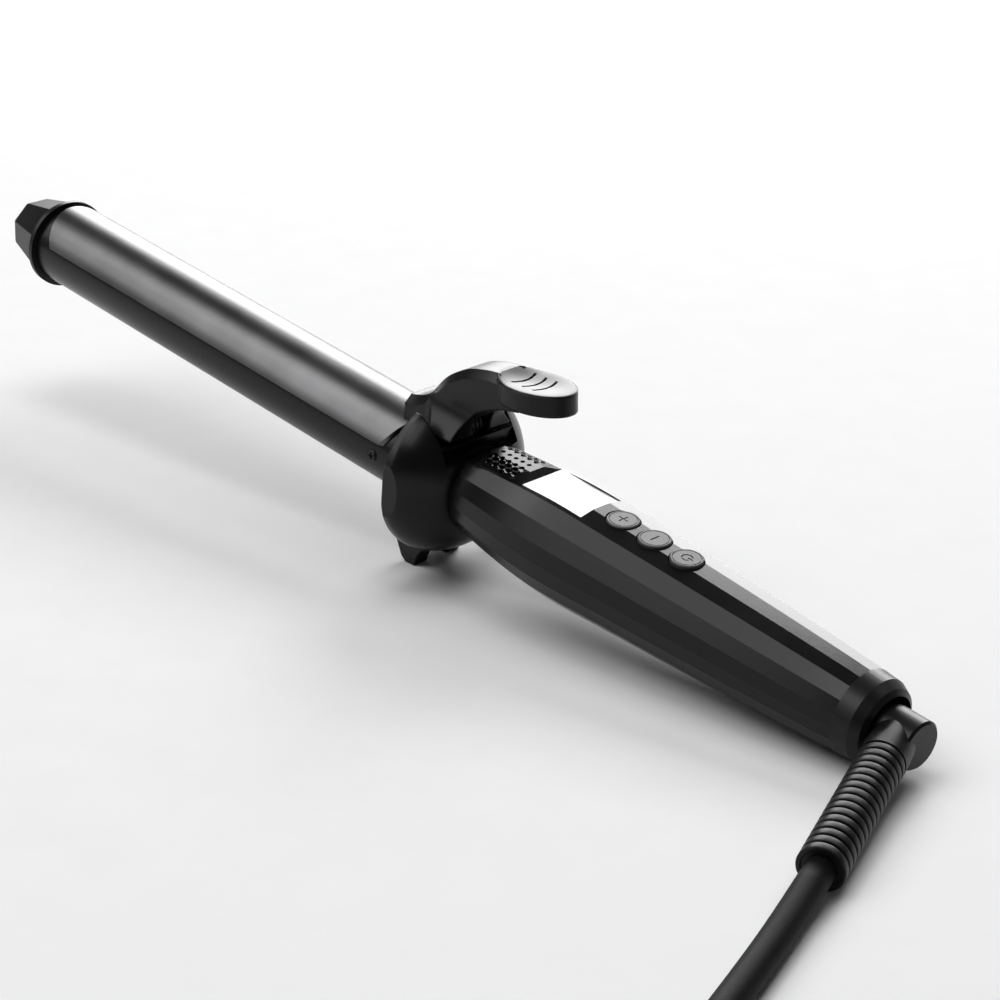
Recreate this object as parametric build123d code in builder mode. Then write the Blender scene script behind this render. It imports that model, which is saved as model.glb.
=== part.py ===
from build123d import *
import math
import os

os.makedirs("parts", exist_ok=True)

# Curling iron, sizes in millimetres.
# The iron is drawn with the barrel along X, the tip at -X and the lever on top.
# It is then set down on its two feet and the heel of the end cap, on the plane z = 0.

# clearances
SLIP = 0.15
RUN = 0.06
SEAT = 0.1
KEY_FREE = 0.3

# barrel and tip
BARREL_R = 12.5
BARREL_WALL = 0.8
BARREL_FRONT = -177.6
BARREL_REAR = 19.4
RING_W = 0.8
FLANGE_R = 14.2
FLANGE_W = 2.4
FLANGE_BEVEL = 0.8
TIP_FACETS = 8
TIP_BASE_R = 13.3
TIP_END_R = 8.9
TIP_LENGTH = 16.4
TIP_BEVEL = 1.0
TIP_SPIGOT = 9.0
TIP_WALL = 2.0

# heater inside the barrel
SPREADER_R = 11.4
SPREADER_WALL = 1.0
SPREADER_FRONT = -130.0
SPREADER_REAR = -40.0
HEATER_THICK = 2.0
HEATER_HALF_W = 6.0
SENSOR_R = 1.6
SENSOR_LENGTH = 8.0
FUSE_R = 1.9
FUSE_LENGTH = 11.0

# carrier between barrel and handle
SOCKET_FRONT = -18.0
SOCKET_R = BARREL_R - BARREL_WALL - 0.1
SOCKET_STUB_R = 8.8
SOCKET_BORE = 6.2
SOCKET_REAR = 31.0
SOCKET_LIP_R = 9.6
SOCKET_LIP_W = 2.2
BARREL_SCREW_X = -10.2
BARREL_SCREW_R = 1.25
BARREL_SCREW_HEAD_R = 2.3
BARREL_SCREW_HEAD_H = 1.0
BARREL_SCREW_LENGTH = 5.0
CROSS_L = 2.6
CROSS_W = 0.6
CROSS_D = 0.6

# sprung clip
CLIP_GAP = 0.35
CLIP_THICK = 0.8
CLIP_FRONT = -176.2
CLIP_NOSE = 9.4
CLIP_EDGE_DEG = 19.0
CLIP_TAIL = -9.2
CLIP_NECK = -3.6
CLIP_STRAP_HALF_W = 5.8
CLIP_STRAP_END = 5.4
RIVET_R = 1.2
RIVET_X = (-1.2, 3.8)
RIVET_LENGTH = 4.0

# thumb lever
LEVER_HALF_W = 6.4
LEVER_CHAMFER = 2.2
LEVER_TOP = (
    (-4.6, 19.2), (-0.5, 20.4), (3.8, 23.1), (6.8, 26.9), (10.1, 30.6),
    (13.2, 33.0), (17.8, 35.8), (22.4, 37.5), (27.4, 38.8), (33.0, 39.4),
)
LEVER_UNDER = (
    (39.7, 32.4), (33.9, 30.7), (28.1, 28.2), (22.4, 24.1), (19.7, 19.4), (19.4, 16.2),
)
LEVER_BELLY = ((9.2, 15.2), (5.6, 15.0), (5.6, 8.0))
LEVER_SADDLE_FRONT = (-4.6, 8.0)
FLARE_TOP = 25.0
FLARE_LOW = 14.5
FLARE_HALF_W = 11.6
FLARE_FRONT = 3.6
FLARE_FULL = 14.4
FLARE_REAR = 26.0
FLARE_SWEEP = 0.5
PIVOT_X = 14.5
PIVOT_Z = 17.2
PIVOT_EAR_R = 2.9
PIN_R = 1.5
EAR_SLOT_HALF_W = 3.4
EAR_SLOT_FRONT = 9.6
EAR_SLOT_REAR = 22.4
EAR_SLOT_TOP = 22.0
EAR_SLOT_LOW = 8.0
PAD_X = 39.5
PAD_Z = 39.2
PAD_TILT_DEG = 7.0
PAD_A = 12.9
PAD_B = 8.1
PAD_THICK = 5.6
INLAY_MARGIN = 1.2
INLAY_THICK = 1.8
INLAY_PROUD = 0.25
INLAY_DISH = 0.85
INLAY_GROOVE_R = 9.0
INLAY_GROOVE_W = 0.7
INLAY_GROOVE_D = 1.25
INLAY_GROOVE_X = (-4.0, 0.0, 4.0)
INLAY_GROOVE_L = 8.8

# lever spring
WIRE_R = 0.5
SPRING_R = 2.6
SPRING_TURNS = 3.5
SPRING_PITCH = 1.5

# guard
GUARD_R = 24.4
GUARD_Z = 0.3
GUARD_FLAT = 23.1
GUARD_FRONT = 6.65
GUARD_RIM_W = 2.2
GUARD_BEVEL = 0.8
GUARD_SWELL = 0.32
GUARD_WEB = 19.5
NECK_X = 22.5
NECK_R = 12.9
NOTCH_HALF_W = 12.9
NOTCH_Z = 14.0
POCKET_X = 18.6
POCKET_Z = 10.0
RECESS_IN_R = 14.8
RECESS_OUT_R = 21.8
RECESS_DEPTH = 4.0
RECESS_LOW_Z = -8.0
LUG_IN = 5.1
LUG_OUT = 7.0
LUG_R = 2.5
LUG_ROOT = 1.0
LUG_SWING = 3.4

# feet
FOOT_Y = 6.0
FOOT_TIP_X = 3.4
FOOT_TIP_Z = -29.8
FOOT_HALF_W = 2.4
FOOT_FLAT_HALF = 1.8
FOOT_BACK = ((GUARD_FRONT, -13.0), (0.5, -15.5), (-4.4, -21.4), (-0.2, -29.0))
FOOT_FACE = ((5.5, -28.1), (6.5, -25.6), (8.3, -23.2), (9.6, -13.0))

# handle
HANDLE_WALL = 2.2
HANDLE_END = 157.6
HANDLE_RADII = (NECK_R, 14.72, 16.08, 16.33, 15.72, 15.12, 14.52, 13.9, 13.22, 12.45, 11.5)
FACET_SIDE_DEG = (0.0, 18.0, 37.0, 57.5)
FACET_TOP = (0.185, 0.912)
FACET_BOTTOM_DEG = (-18.0, -37.0, -57.0, -77.0)
NECK_WALL = 3.0
BOSS_X = (43.0, 116.5)
BOSS_R = 3.0
BOARD_Z = 3.0
SHELL_SCREWS = ((36.0, -9.2), (36.0, 9.2), (128.0, 0.0))
SHELL_SCREW_R = 1.25
SHELL_SCREW_HEAD_R = 2.2
SHELL_SCREW_HEAD_H = 1.6
SHELL_SCREW_SEAT_Z = -6.0
SHELL_SCREW_TOP_Z = 6.0
SHELL_POST_R = 3.0
SHELL_POST_TOP = 7.5

# vent insert, display and buttons
VENT_FRONT = 26.5
VENT_REAR = 44.4
VENT_HALF_W = 7.6
VENT_THICK = 1.5
VENT_TOP_HALF_W = 2.53
VENT_FRONT_Z = (12.0, 14.3)
VENT_REAR_Z = (13.4, 14.95)
VENT_HOLE_R = 0.7
VENT_PITCH = 2.55
VENT_ROWS = 5
VENT_COLUMNS = 5
VENT_HOLES_X = 34.0
VENT_RAMP_L = 2.6
VENT_RAMP_H = 1.5
SCREEN_FRONT = 44.4
SCREEN_REAR = 66.6
SCREEN_HALF_W = 7.4
SCREEN_Z = 13.6
SCREEN_THICK = 1.2
MODULE_HALF_W = 6.6
MODULE_THICK = 3.0
MODULE_LEG = 1.5
KEY_X = (74.75, 86.17, 97.6)
KEY_R = 4.5
KEY_TOP = (14.75, 14.46, 14.18)
KEY_SKIRT = 3.6
KEY_BASE_R = 5.4
KEY_BASE_H = 1.0
KEY_STEM_R = 1.4
KEY_RING_R = 3.76
KEY_RING_W = 0.3
KEY_RING_D = 0.25
KEY_TRAVEL = 0.6
KEY_BEVEL = 0.3
SIGN_L = 3.2
SIGN_W = 0.45
SIGN_D = 0.2

# electronics
BOARD_FRONT = 40.0
BOARD_REAR = 120.0
BOARD_HALF_W = 8.6
BOARD_THICK = 1.6
BOARD_SCREW_R = 1.0
BOARD_SCREW_HEAD_R = 1.9
BOARD_SCREW_HEAD_H = 1.2
SWITCH_HALF = 3.0
SWITCH_H = 3.4
SWITCH_BODY_H = 2.6
CAP_R = 4.0
CAP_X = 108.0
CAP_H = 5.0
TRIAC_X = 62.0
TRIAC_SIZE = (10.0, 9.0, 4.0)
POWER_X = 88.0
POWER_SIZE = (20.0, 13.0, 7.0)
TERMINAL_X = 107.0
TERMINAL_SIZE = (7.0, 12.0, 4.0)
LEAD_R = 0.9
LEAD_Y = 4.4
LEAD_REAR = 48.0
SUPPLY_Y = 5.6
SUPPLY_Z = -1.0

# end cap, swivel and boot
CAP_SEAM_R = 11.5
CAP_RIM_X = 162.4
CAP_RIM_R = 11.1
CAP_SHOULDER = (165.0, 9.8)
CAP_MOUTH = (166.0, 8.3)
CAP_FLOOR = 161.0
CAP_SPIGOT_R = 8.1
CAP_SPIGOT_FRONT = 151.0
HEEL_CUT = 0.25
SWIVEL_R = 6.5
SWIVEL_END = 176.0
SWIVEL_BEVEL = 0.6
SWIVEL_GROOVE_R = 5.0
RETAINER_R = 7.7
RETAINER_W = 2.2
RETAINER_GAP = 0.3
SPINDLE_R = 3.4
SPINDLE_FRONT = 136.0
SPINDLE_REAR = 147.5
SLIP_RING_X = (139.5, 144.0)
SLIP_RING_W = 2.0
SLIP_RING_R = 4.2
CONTACT_GAP = 0.12
CONTACT_HALF = 1.0
CONTACT_BASE_Z = -6.0
CARRIER_FRONT = 137.0
CARRIER_REAR = 146.5
CARRIER_HALF_W = 6.8
CARRIER_SLOT_HALF_W = 4.6
SWIVEL_X = 169.0
SWIVEL_NECK_R = 5.7
SWIVEL_NECK = 8.6
BOOT_LENGTH = 49.9
BOOT_R = 5.9
BOOT_GROOVE_R = 5.15
BOOT_RIBS = 18
RIB_SHARES = (0.0, 0.3, 0.4, 0.9)
BOOT_DIR = Vector(0.3906, -0.9203, -0.0222).normalized()

# cord, laid on the floor plane
CORD_R = 3.7
CORD_RUNS = (20.0, 22.0, 22.0, 20.0)
CORD_HEADINGS = (-68.5, -70.3, -71.6)
CORD_HEIGHTS = (3.9, 4.2, 4.9)
CORD_END_GAP = 0.3
BEND_SHARE = 0.45
COIL_HEADING = -73.5
COIL_R = 54.5
COIL_PITCH = 7.95
COIL_Z = 4.9
COIL_TURNS_IN = 3.55
COIL_TURNS_CLIMB = 0.5
COIL_TURNS = 6.51
COIL_STEP = 0.25
COIL_SAMPLES = 900
TAIL_STEPS = ((12.0, 1.0, -0.6), (16.0, 2.0, -3.4), (14.0, 3.0, -1.6), (10.0, 4.0, 0.0))
TIE_TURN = 0.204
TIE_W = 8.0
TIE_THICK = 0.9
TIE_SIDE_FREE = 0.9
TIE_FLOOR_FREE = 0.25
TIE_ROUND = 3.0
PLUG_L = 35.0
PLUG_TAPER = 19.0
PLUG_HALF_W = 12.0
PLUG_HALF_NOSE = 6.0
PLUG_HALF_T = 6.8
PLUG_ROUND = 2.5
PLUG_PIN_R = 2.0
PLUG_PIN_L = 19.0
PLUG_PIN_HALF_GAP = 9.3
PLUG_PIN_HOLD = 8.0
PLUG_ROOT_R = 1.6
PLUG_ROOT_OUT = 0.3

# derived sizes
BARREL_IN = BARREL_R - BARREL_WALL
RING_FRONT = BARREL_FRONT - RING_W
FLANGE_FRONT = RING_FRONT - FLANGE_W
TIP_END = FLANGE_FRONT - TIP_LENGTH
CLIP_IN = BARREL_R + CLIP_GAP
CLIP_OUT = CLIP_IN + CLIP_THICK
CLIP_EDGE_Z = CLIP_OUT * math.sin(math.radians(CLIP_EDGE_DEG))
CLIP_HALF_Y = CLIP_OUT * math.cos(math.radians(CLIP_EDGE_DEG))
BOARD_TOP = BOARD_Z + BOARD_THICK
HANDLE_STEP = (HANDLE_END - NECK_X) / (len(HANDLE_RADII) - 1)
HANDLE_STATIONS = tuple((NECK_X + HANDLE_STEP * place, r) for place, r in enumerate(HANDLE_RADII))
FLOOR_SLOPE = (HEEL_CUT - CAP_RIM_R - FOOT_TIP_Z) / (CAP_RIM_X - FOOT_TIP_X)
REST_DEG = math.degrees(math.atan(FLOOR_SLOPE))
REST = Location((0, 0, 0), (0, REST_DEG, 0)) * Location((-FOOT_TIP_X, 0, -FOOT_TIP_Z))
FOOT_SIDE = FOOT_BACK + tuple(
    (FOOT_TIP_X + dx, FOOT_TIP_Z + dx * FLOOR_SLOPE) for dx in (-FOOT_FLAT_HALF, FOOT_FLAT_HALF)
) + FOOT_FACE


def station(x):
    """Plane across the barrel axis, with its own axes along Y and Z."""
    return Plane(origin=(x, 0, 0), x_dir=(0, 1, 0), z_dir=(1, 0, 0))


def outline(points, plane):
    """Flat face inside a closed row of points."""
    with BuildSketch(plane) as drawn:
        with BuildLine():
            Polyline(*points, close=True)
        make_face()
    return drawn.sketch


def turned(points):
    """Half section in (x, r), ready to be turned about the barrel axis."""
    return outline(points, Plane.XZ)


def bar(x0, x1, r0, r1):
    """Half section of a plain ring from x0 to x1 between two radii."""
    return turned(((x0, r0), (x1, r0), (x1, r1), (x0, r1)))


def handle_points(radius):
    """Corners of the handle's section for one radius."""
    side = [(math.cos(math.radians(a)), math.sin(math.radians(a))) for a in FACET_SIDE_DEG]
    low = [(math.cos(math.radians(a)), math.sin(math.radians(a))) for a in FACET_BOTTOM_DEG]
    half = list(reversed(low)) + side + [FACET_TOP]
    other = [(-y, z) for y, z in reversed(half) if abs(y) > 0]
    return [(radius * y, radius * z) for y, z in half + other]


def biarc_point(p0, t0, p1, t1):
    """Middle point of the two arcs that join two points with their directions."""
    across = p1 - p0
    both = t0 + t1
    spread = 1 - t0.dot(t1)
    along = across.dot(both)
    if spread < 1e-9:
        reach = across.dot(across) / (2 * along)
    else:
        reach = (math.sqrt(along * along + 2 * spread * across.dot(across)) - along) / (2 * spread)
    return (p0 + p1 + (t0 - t1) * reach) * 0.5


def hand_over(built, name, pose):
    """Set a finished piece down in its resting place and save it."""
    piece = built.part.moved(pose)
    piece.label = name
    export_step(piece, f"parts/{name}.step")
    print(name, len(piece.solids()), round(piece.volume, 1))


# tip
with BuildPart() as tip_cap:
    tip_sections = (
        (FLANGE_FRONT, TIP_BASE_R), (TIP_END + TIP_BEVEL, TIP_END_R + TIP_BEVEL / 2), (TIP_END, TIP_END_R),
    )
    for x, r in tip_sections:
        with BuildSketch(station(x)):
            RegularPolygon(radius=r, side_count=TIP_FACETS, rotation=180 / TIP_FACETS)
    loft(ruled=True)
    flange = (
        (FLANGE_FRONT, 0), (FLANGE_FRONT, FLANGE_R - FLANGE_BEVEL), (FLANGE_FRONT + FLANGE_BEVEL, FLANGE_R),
        (RING_FRONT, FLANGE_R), (RING_FRONT, BARREL_IN - SLIP),
        (RING_FRONT + TIP_SPIGOT, BARREL_IN - SLIP), (RING_FRONT + TIP_SPIGOT, 0),
    )
    revolve(turned(flange), axis=Axis.X)
    hollow = (
        (TIP_END + TIP_WALL, 0), (TIP_END + TIP_WALL, TIP_END_R - TIP_WALL),
        (FLANGE_FRONT, TIP_BASE_R - TIP_WALL * 2),
        (RING_FRONT + TIP_SPIGOT, TIP_BASE_R - TIP_WALL * 2), (RING_FRONT + TIP_SPIGOT, 0),
    )
    revolve(turned(hollow), axis=Axis.X, mode=Mode.SUBTRACT)

with BuildPart() as tip_ring:
    revolve(bar(RING_FRONT, BARREL_FRONT, BARREL_IN, BARREL_R), axis=Axis.X)

# barrel and heater
with BuildPart() as barrel_tube:
    revolve(bar(BARREL_FRONT, BARREL_REAR, BARREL_IN, BARREL_R), axis=Axis.X)
    with Locations(Location((BARREL_SCREW_X, 0, 0), (90, 0, 0))):
        Cylinder(BARREL_SCREW_R + SEAT, BARREL_R * 3, mode=Mode.SUBTRACT)

with BuildPart() as heater_plate:
    with Locations(((SPREADER_FRONT + SPREADER_REAR) / 2, 0, 0)):
        Box(SPREADER_REAR - SPREADER_FRONT, HEATER_HALF_W * 2, HEATER_THICK)

with BuildPart() as heat_spreader_upper:
    with BuildSketch(station(SPREADER_FRONT)):
        Circle(SPREADER_R)
        Circle(SPREADER_R - SPREADER_WALL, mode=Mode.SUBTRACT)
        with Locations((0, HEATER_THICK / 2 + SPREADER_WALL / 2)):
            Rectangle(2 * SPREADER_R - SPREADER_WALL, SPREADER_WALL)
        with Locations((0, HEATER_THICK / 2 - SPREADER_R)):
            Rectangle(2 * SPREADER_R, 2 * SPREADER_R, mode=Mode.SUBTRACT)
    extrude(amount=SPREADER_REAR - SPREADER_FRONT)

with BuildPart() as heat_spreader_lower:
    add(heat_spreader_upper.part.mirror(Plane.XY))

with BuildPart() as thermistor:
    sensor_z = HEATER_THICK / 2 + SPREADER_WALL + SENSOR_R
    with Locations(Location((SPREADER_REAR - SENSOR_LENGTH, 0, sensor_z), (0, 90, 0))):
        Cylinder(SENSOR_R, SENSOR_LENGTH)

with BuildPart() as thermal_fuse:
    fuse_z = -HEATER_THICK / 2 - SPREADER_WALL - FUSE_R
    with Locations(Location((SPREADER_REAR - FUSE_LENGTH, 0, fuse_z), (0, 90, 0))):
        Cylinder(FUSE_R, FUSE_LENGTH)

with BuildPart() as barrel_socket:
    socket = (
        (SOCKET_FRONT, SOCKET_BORE), (SOCKET_FRONT, SOCKET_R), (BARREL_REAR, SOCKET_R),
        (BARREL_REAR, SOCKET_STUB_R), (NECK_X + NECK_WALL + SEAT, SOCKET_STUB_R),
        (NECK_X + NECK_WALL + SEAT, SOCKET_LIP_R), (NECK_X + NECK_WALL + SOCKET_LIP_W, SOCKET_LIP_R),
        (NECK_X + NECK_WALL + SOCKET_LIP_W, SOCKET_STUB_R), (SOCKET_REAR, SOCKET_STUB_R),
        (SOCKET_REAR, SOCKET_BORE),
    )
    revolve(turned(socket), axis=Axis.X)
    with Locations(Location((BARREL_SCREW_X, 0, 0), (90, 0, 0))):
        Cylinder(BARREL_SCREW_R, BARREL_R * 3, mode=Mode.SUBTRACT)

with BuildPart() as barrel_screws:
    for side in (-1, 1):
        shank_y = side * (BARREL_R - BARREL_SCREW_LENGTH / 2)
        head_y = side * (BARREL_R + BARREL_SCREW_HEAD_H / 2)
        with Locations(Location((BARREL_SCREW_X, shank_y, 0), (90, 0, 0))):
            Cylinder(BARREL_SCREW_R, BARREL_SCREW_LENGTH)
        with Locations(Location((BARREL_SCREW_X, head_y, 0), (90, 0, 0))):
            Cylinder(BARREL_SCREW_HEAD_R, BARREL_SCREW_HEAD_H)
        with Locations((BARREL_SCREW_X, side * (BARREL_R + BARREL_SCREW_HEAD_H), 0)):
            Box(CROSS_L, CROSS_D * 2, CROSS_W, mode=Mode.SUBTRACT)
            Box(CROSS_W, CROSS_D * 2, CROSS_L, mode=Mode.SUBTRACT)

# clip and lever
with BuildPart() as clip_spoon:
    with BuildSketch(station(CLIP_FRONT)):
        Circle(CLIP_OUT)
        Circle(CLIP_IN, mode=Mode.SUBTRACT)
        with Locations((0, CLIP_EDGE_Z - CLIP_OUT)):
            Rectangle(CLIP_OUT * 4, CLIP_OUT * 2, mode=Mode.SUBTRACT)
    extrude(amount=CLIP_STRAP_END - CLIP_FRONT)
    with BuildSketch(Plane.XY):
        with BuildLine():
            nose = EllipticalCenterArc((CLIP_FRONT + CLIP_NOSE, 0), CLIP_NOSE, CLIP_OUT,
                                       start_angle=90, arc_size=180)
            left = Polyline(nose @ 0, (CLIP_TAIL, CLIP_OUT), (CLIP_TAIL, CLIP_HALF_Y))
            right = Polyline(nose @ 1, (CLIP_TAIL, -CLIP_OUT), (CLIP_TAIL, -CLIP_HALF_Y))
            bend_left = Bezier((CLIP_TAIL, CLIP_HALF_Y), (CLIP_NECK, CLIP_HALF_Y),
                               (CLIP_NECK, CLIP_STRAP_HALF_W), (0, CLIP_STRAP_HALF_W))
            bend_right = Bezier((CLIP_TAIL, -CLIP_HALF_Y), (CLIP_NECK, -CLIP_HALF_Y),
                                (CLIP_NECK, -CLIP_STRAP_HALF_W), (0, -CLIP_STRAP_HALF_W))
            Polyline((0, CLIP_STRAP_HALF_W), (CLIP_STRAP_END, CLIP_STRAP_HALF_W),
                     (CLIP_STRAP_END, -CLIP_STRAP_HALF_W), (0, -CLIP_STRAP_HALF_W))
        make_face()
    extrude(amount=CLIP_OUT * 2, mode=Mode.INTERSECT)
    with Locations([(x, 0, CLIP_OUT) for x in RIVET_X]):
        Cylinder(RIVET_R, CLIP_OUT, mode=Mode.SUBTRACT)

with BuildPart() as clip_rivets:
    for x in RIVET_X:
        with Locations((x, 0, CLIP_IN + SEAT + RIVET_LENGTH / 2)):
            Cylinder(RIVET_R, RIVET_LENGTH)

PAD_PLANE = Plane(
    origin=(PAD_X, 0, PAD_Z),
    x_dir=(math.cos(math.radians(PAD_TILT_DEG)), 0, math.sin(math.radians(PAD_TILT_DEG))),
    z_dir=(-math.sin(math.radians(PAD_TILT_DEG)), 0, math.cos(math.radians(PAD_TILT_DEG))),
)

with BuildPart() as lever_side:
    with BuildSketch(Plane.XZ):
        with BuildLine():
            crown = Spline(*LEVER_TOP)
            reach = Polyline(crown @ 1, (PAD_X, PAD_Z - PAD_THICK / 2), LEVER_UNDER[0])
            belly = Spline(*LEVER_UNDER)
            Polyline(belly @ 1, *LEVER_BELLY, LEVER_SADDLE_FRONT, LEVER_TOP[0])
        make_face()
    extrude(amount=NOTCH_HALF_W, both=True)

FLARE_RISE = FLARE_SWEEP * (FLARE_TOP - FLARE_LOW)
FLARE_RUN = FLARE_SWEEP * (FLARE_FULL - FLARE_FRONT)
with BuildPart() as lever_cheeks:
    with BuildSketch(station(FLARE_FRONT)):
        with BuildLine():
            near = Bezier((-FLARE_HALF_W, FLARE_LOW), (-FLARE_HALF_W, FLARE_LOW + FLARE_RISE / 2),
                          (-LEVER_HALF_W, FLARE_TOP - FLARE_RISE), (-LEVER_HALF_W, FLARE_TOP))
            Line(near @ 1, (LEVER_HALF_W, FLARE_TOP))
            far = Bezier((LEVER_HALF_W, FLARE_TOP), (LEVER_HALF_W, FLARE_TOP - FLARE_RISE),
                         (FLARE_HALF_W, FLARE_LOW + FLARE_RISE / 2), (FLARE_HALF_W, FLARE_LOW))
            Line(far @ 1, near @ 0)
        make_face()
    extrude(amount=FLARE_REAR - FLARE_FRONT)
    with BuildSketch(Plane.XY):
        with BuildLine():
            left = Bezier((FLARE_FRONT, LEVER_HALF_W), (FLARE_FRONT + FLARE_RUN, LEVER_HALF_W),
                          (FLARE_FULL - FLARE_RUN, FLARE_HALF_W), (FLARE_FULL, FLARE_HALF_W))
            right = Bezier((FLARE_FRONT, -LEVER_HALF_W), (FLARE_FRONT + FLARE_RUN, -LEVER_HALF_W),
                           (FLARE_FULL - FLARE_RUN, -FLARE_HALF_W), (FLARE_FULL, -FLARE_HALF_W))
            Polyline(left @ 1, (FLARE_REAR, FLARE_HALF_W), (FLARE_REAR, -FLARE_HALF_W), right @ 1)
            Line(right @ 0, left @ 0)
        make_face()
    extrude(amount=FLARE_TOP, mode=Mode.INTERSECT)
    add(lever_side.part, mode=Mode.INTERSECT)
    add(lever_side.part.moved(Location((0, 0, -LEVER_CHAMFER - SEAT))), mode=Mode.INTERSECT)

with BuildPart() as lever:
    add(lever_side.part)
    with Locations((PAD_X / 2, 0, PAD_Z / 2)):
        Box(PAD_X * 2, LEVER_HALF_W * 2, PAD_Z * 2, mode=Mode.INTERSECT)
    crown_edges = lever.edges().filter_by(GeomType.BSPLINE).sort_by(Axis.Z)[-2:]
    chamfer(crown_edges, LEVER_CHAMFER)
    add(lever_cheeks.part)
    with Locations(Location((PIVOT_X, 0, PIVOT_Z), (90, 0, 0))):
        Cylinder(PIVOT_EAR_R, LUG_IN * 2)
    with BuildSketch(PAD_PLANE):
        Ellipse(PAD_A, PAD_B)
    extrude(amount=-PAD_THICK)
    with BuildSketch(PAD_PLANE):
        Ellipse(PAD_A - INLAY_MARGIN, PAD_B - INLAY_MARGIN)
    extrude(amount=-INLAY_THICK, mode=Mode.SUBTRACT)
    with BuildSketch(PAD_PLANE):
        Ellipse(PAD_A - INLAY_MARGIN, PAD_B - INLAY_MARGIN)
    extrude(amount=PAD_THICK, mode=Mode.SUBTRACT)
    slot_l = EAR_SLOT_REAR - EAR_SLOT_FRONT
    slot_h = EAR_SLOT_TOP - EAR_SLOT_LOW
    with Locations((EAR_SLOT_FRONT + slot_l / 2, 0, EAR_SLOT_LOW + slot_h / 2)):
        Box(slot_l, EAR_SLOT_HALF_W * 2, slot_h, mode=Mode.SUBTRACT)
    for side in (-1, 1):
        with Locations(Location((PIVOT_X, side * (LUG_IN + LUG_OUT) / 2, PIVOT_Z), (90, 0, 0))):
            Cylinder(LUG_R + KEY_FREE, LUG_OUT - LUG_IN + KEY_FREE * 2, mode=Mode.SUBTRACT)
        with Locations((PIVOT_X, side * (LUG_IN + LUG_OUT) / 2, PIVOT_Z / 2)):
            Box(LUG_SWING * 2, LUG_OUT - LUG_IN + KEY_FREE * 2, PIVOT_Z, mode=Mode.SUBTRACT)
    revolve(bar(LEVER_TOP[0][0] - 1, LEVER_BELLY[0][0], 0, CLIP_OUT), axis=Axis.X, mode=Mode.SUBTRACT)
    with Locations(Location((PIVOT_X, 0, PIVOT_Z), (90, 0, 0))):
        Cylinder(PIN_R + RUN, LUG_OUT * 2 + KEY_FREE * 2, mode=Mode.SUBTRACT)
    for x in RIVET_X:
        with Locations((x, 0, CLIP_IN + SEAT + RIVET_LENGTH / 2)):
            Cylinder(RIVET_R, RIVET_LENGTH, mode=Mode.SUBTRACT)

DISH_HALF = PAD_A - INLAY_MARGIN
DISH_R = (DISH_HALF * DISH_HALF + INLAY_DISH * INLAY_DISH) / (2 * INLAY_DISH)
with BuildPart() as thumb_pad:
    with BuildSketch(PAD_PLANE.offset(-INLAY_THICK)):
        Ellipse(PAD_A - INLAY_MARGIN - SEAT, PAD_B - INLAY_MARGIN - SEAT)
    extrude(amount=INLAY_THICK + INLAY_PROUD)
    with Locations(PAD_PLANE * Location((0, 0, INLAY_PROUD - INLAY_DISH + DISH_R), (90, 0, 0))):
        Cylinder(DISH_R, PAD_B * 4, mode=Mode.SUBTRACT)
    for x in INLAY_GROOVE_X:
        with BuildSketch(PAD_PLANE.offset(INLAY_PROUD)):
            with Locations((x - INLAY_GROOVE_R, 0)):
                Circle(INLAY_GROOVE_R + INLAY_GROOVE_W / 2)
                Circle(INLAY_GROOVE_R - INLAY_GROOVE_W / 2, mode=Mode.SUBTRACT)
            with Locations((x, 0)):
                Rectangle(INLAY_GROOVE_R, INLAY_GROOVE_L, mode=Mode.INTERSECT)
        extrude(amount=-INLAY_GROOVE_D, mode=Mode.SUBTRACT)

with BuildPart() as hinge_pin:
    with Locations(Location((PIVOT_X, 0, PIVOT_Z), (90, 0, 0))):
        Cylinder(PIN_R, LUG_OUT * 2)

SPRING_HALF = SPRING_TURNS * SPRING_PITCH / 2
with BuildPart() as lever_spring:
    with BuildLine() as curl:
        Helix(pitch=SPRING_PITCH, height=SPRING_HALF * 2, radius=SPRING_R,
              center=(PIVOT_X, -SPRING_HALF, PIVOT_Z), direction=(0, 1, 0))
    with BuildSketch(Plane(origin=curl.line @ 0, z_dir=curl.line % 0)):
        Circle(WIRE_R)
    sweep(path=curl.line, is_frenet=True)

# guard and feet
DOME_X = GUARD_FRONT + GUARD_RIM_W
DOME_NECK_R = NECK_R - GUARD_Z
with BuildPart() as guard_form:
    with BuildSketch(Plane.XZ):
        with BuildLine():
            rim = Polyline((GUARD_FRONT, 0), (GUARD_FRONT, GUARD_R - GUARD_BEVEL),
                           (GUARD_FRONT + GUARD_BEVEL, GUARD_R), (DOME_X, GUARD_R))
            swell_x = DOME_X + GUARD_SWELL * (NECK_X - DOME_X)
            swell_r = DOME_NECK_R + GUARD_SWELL * (GUARD_R - DOME_NECK_R)
            cover = Bezier((DOME_X, GUARD_R), (swell_x, GUARD_R), (NECK_X, swell_r), (NECK_X, DOME_NECK_R))
            Polyline((NECK_X, DOME_NECK_R), (NECK_X, 0), (GUARD_FRONT, 0))
        make_face()
    revolve(axis=Axis.X)
    with Locations(((GUARD_FRONT + NECK_X) / 2, 0, 0)):
        Box(NECK_X - GUARD_FRONT, GUARD_FLAT * 2, GUARD_R * 3, mode=Mode.INTERSECT)
    add(guard_form.part.moved(Location((0, 0, GUARD_Z))), mode=Mode.REPLACE)

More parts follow.
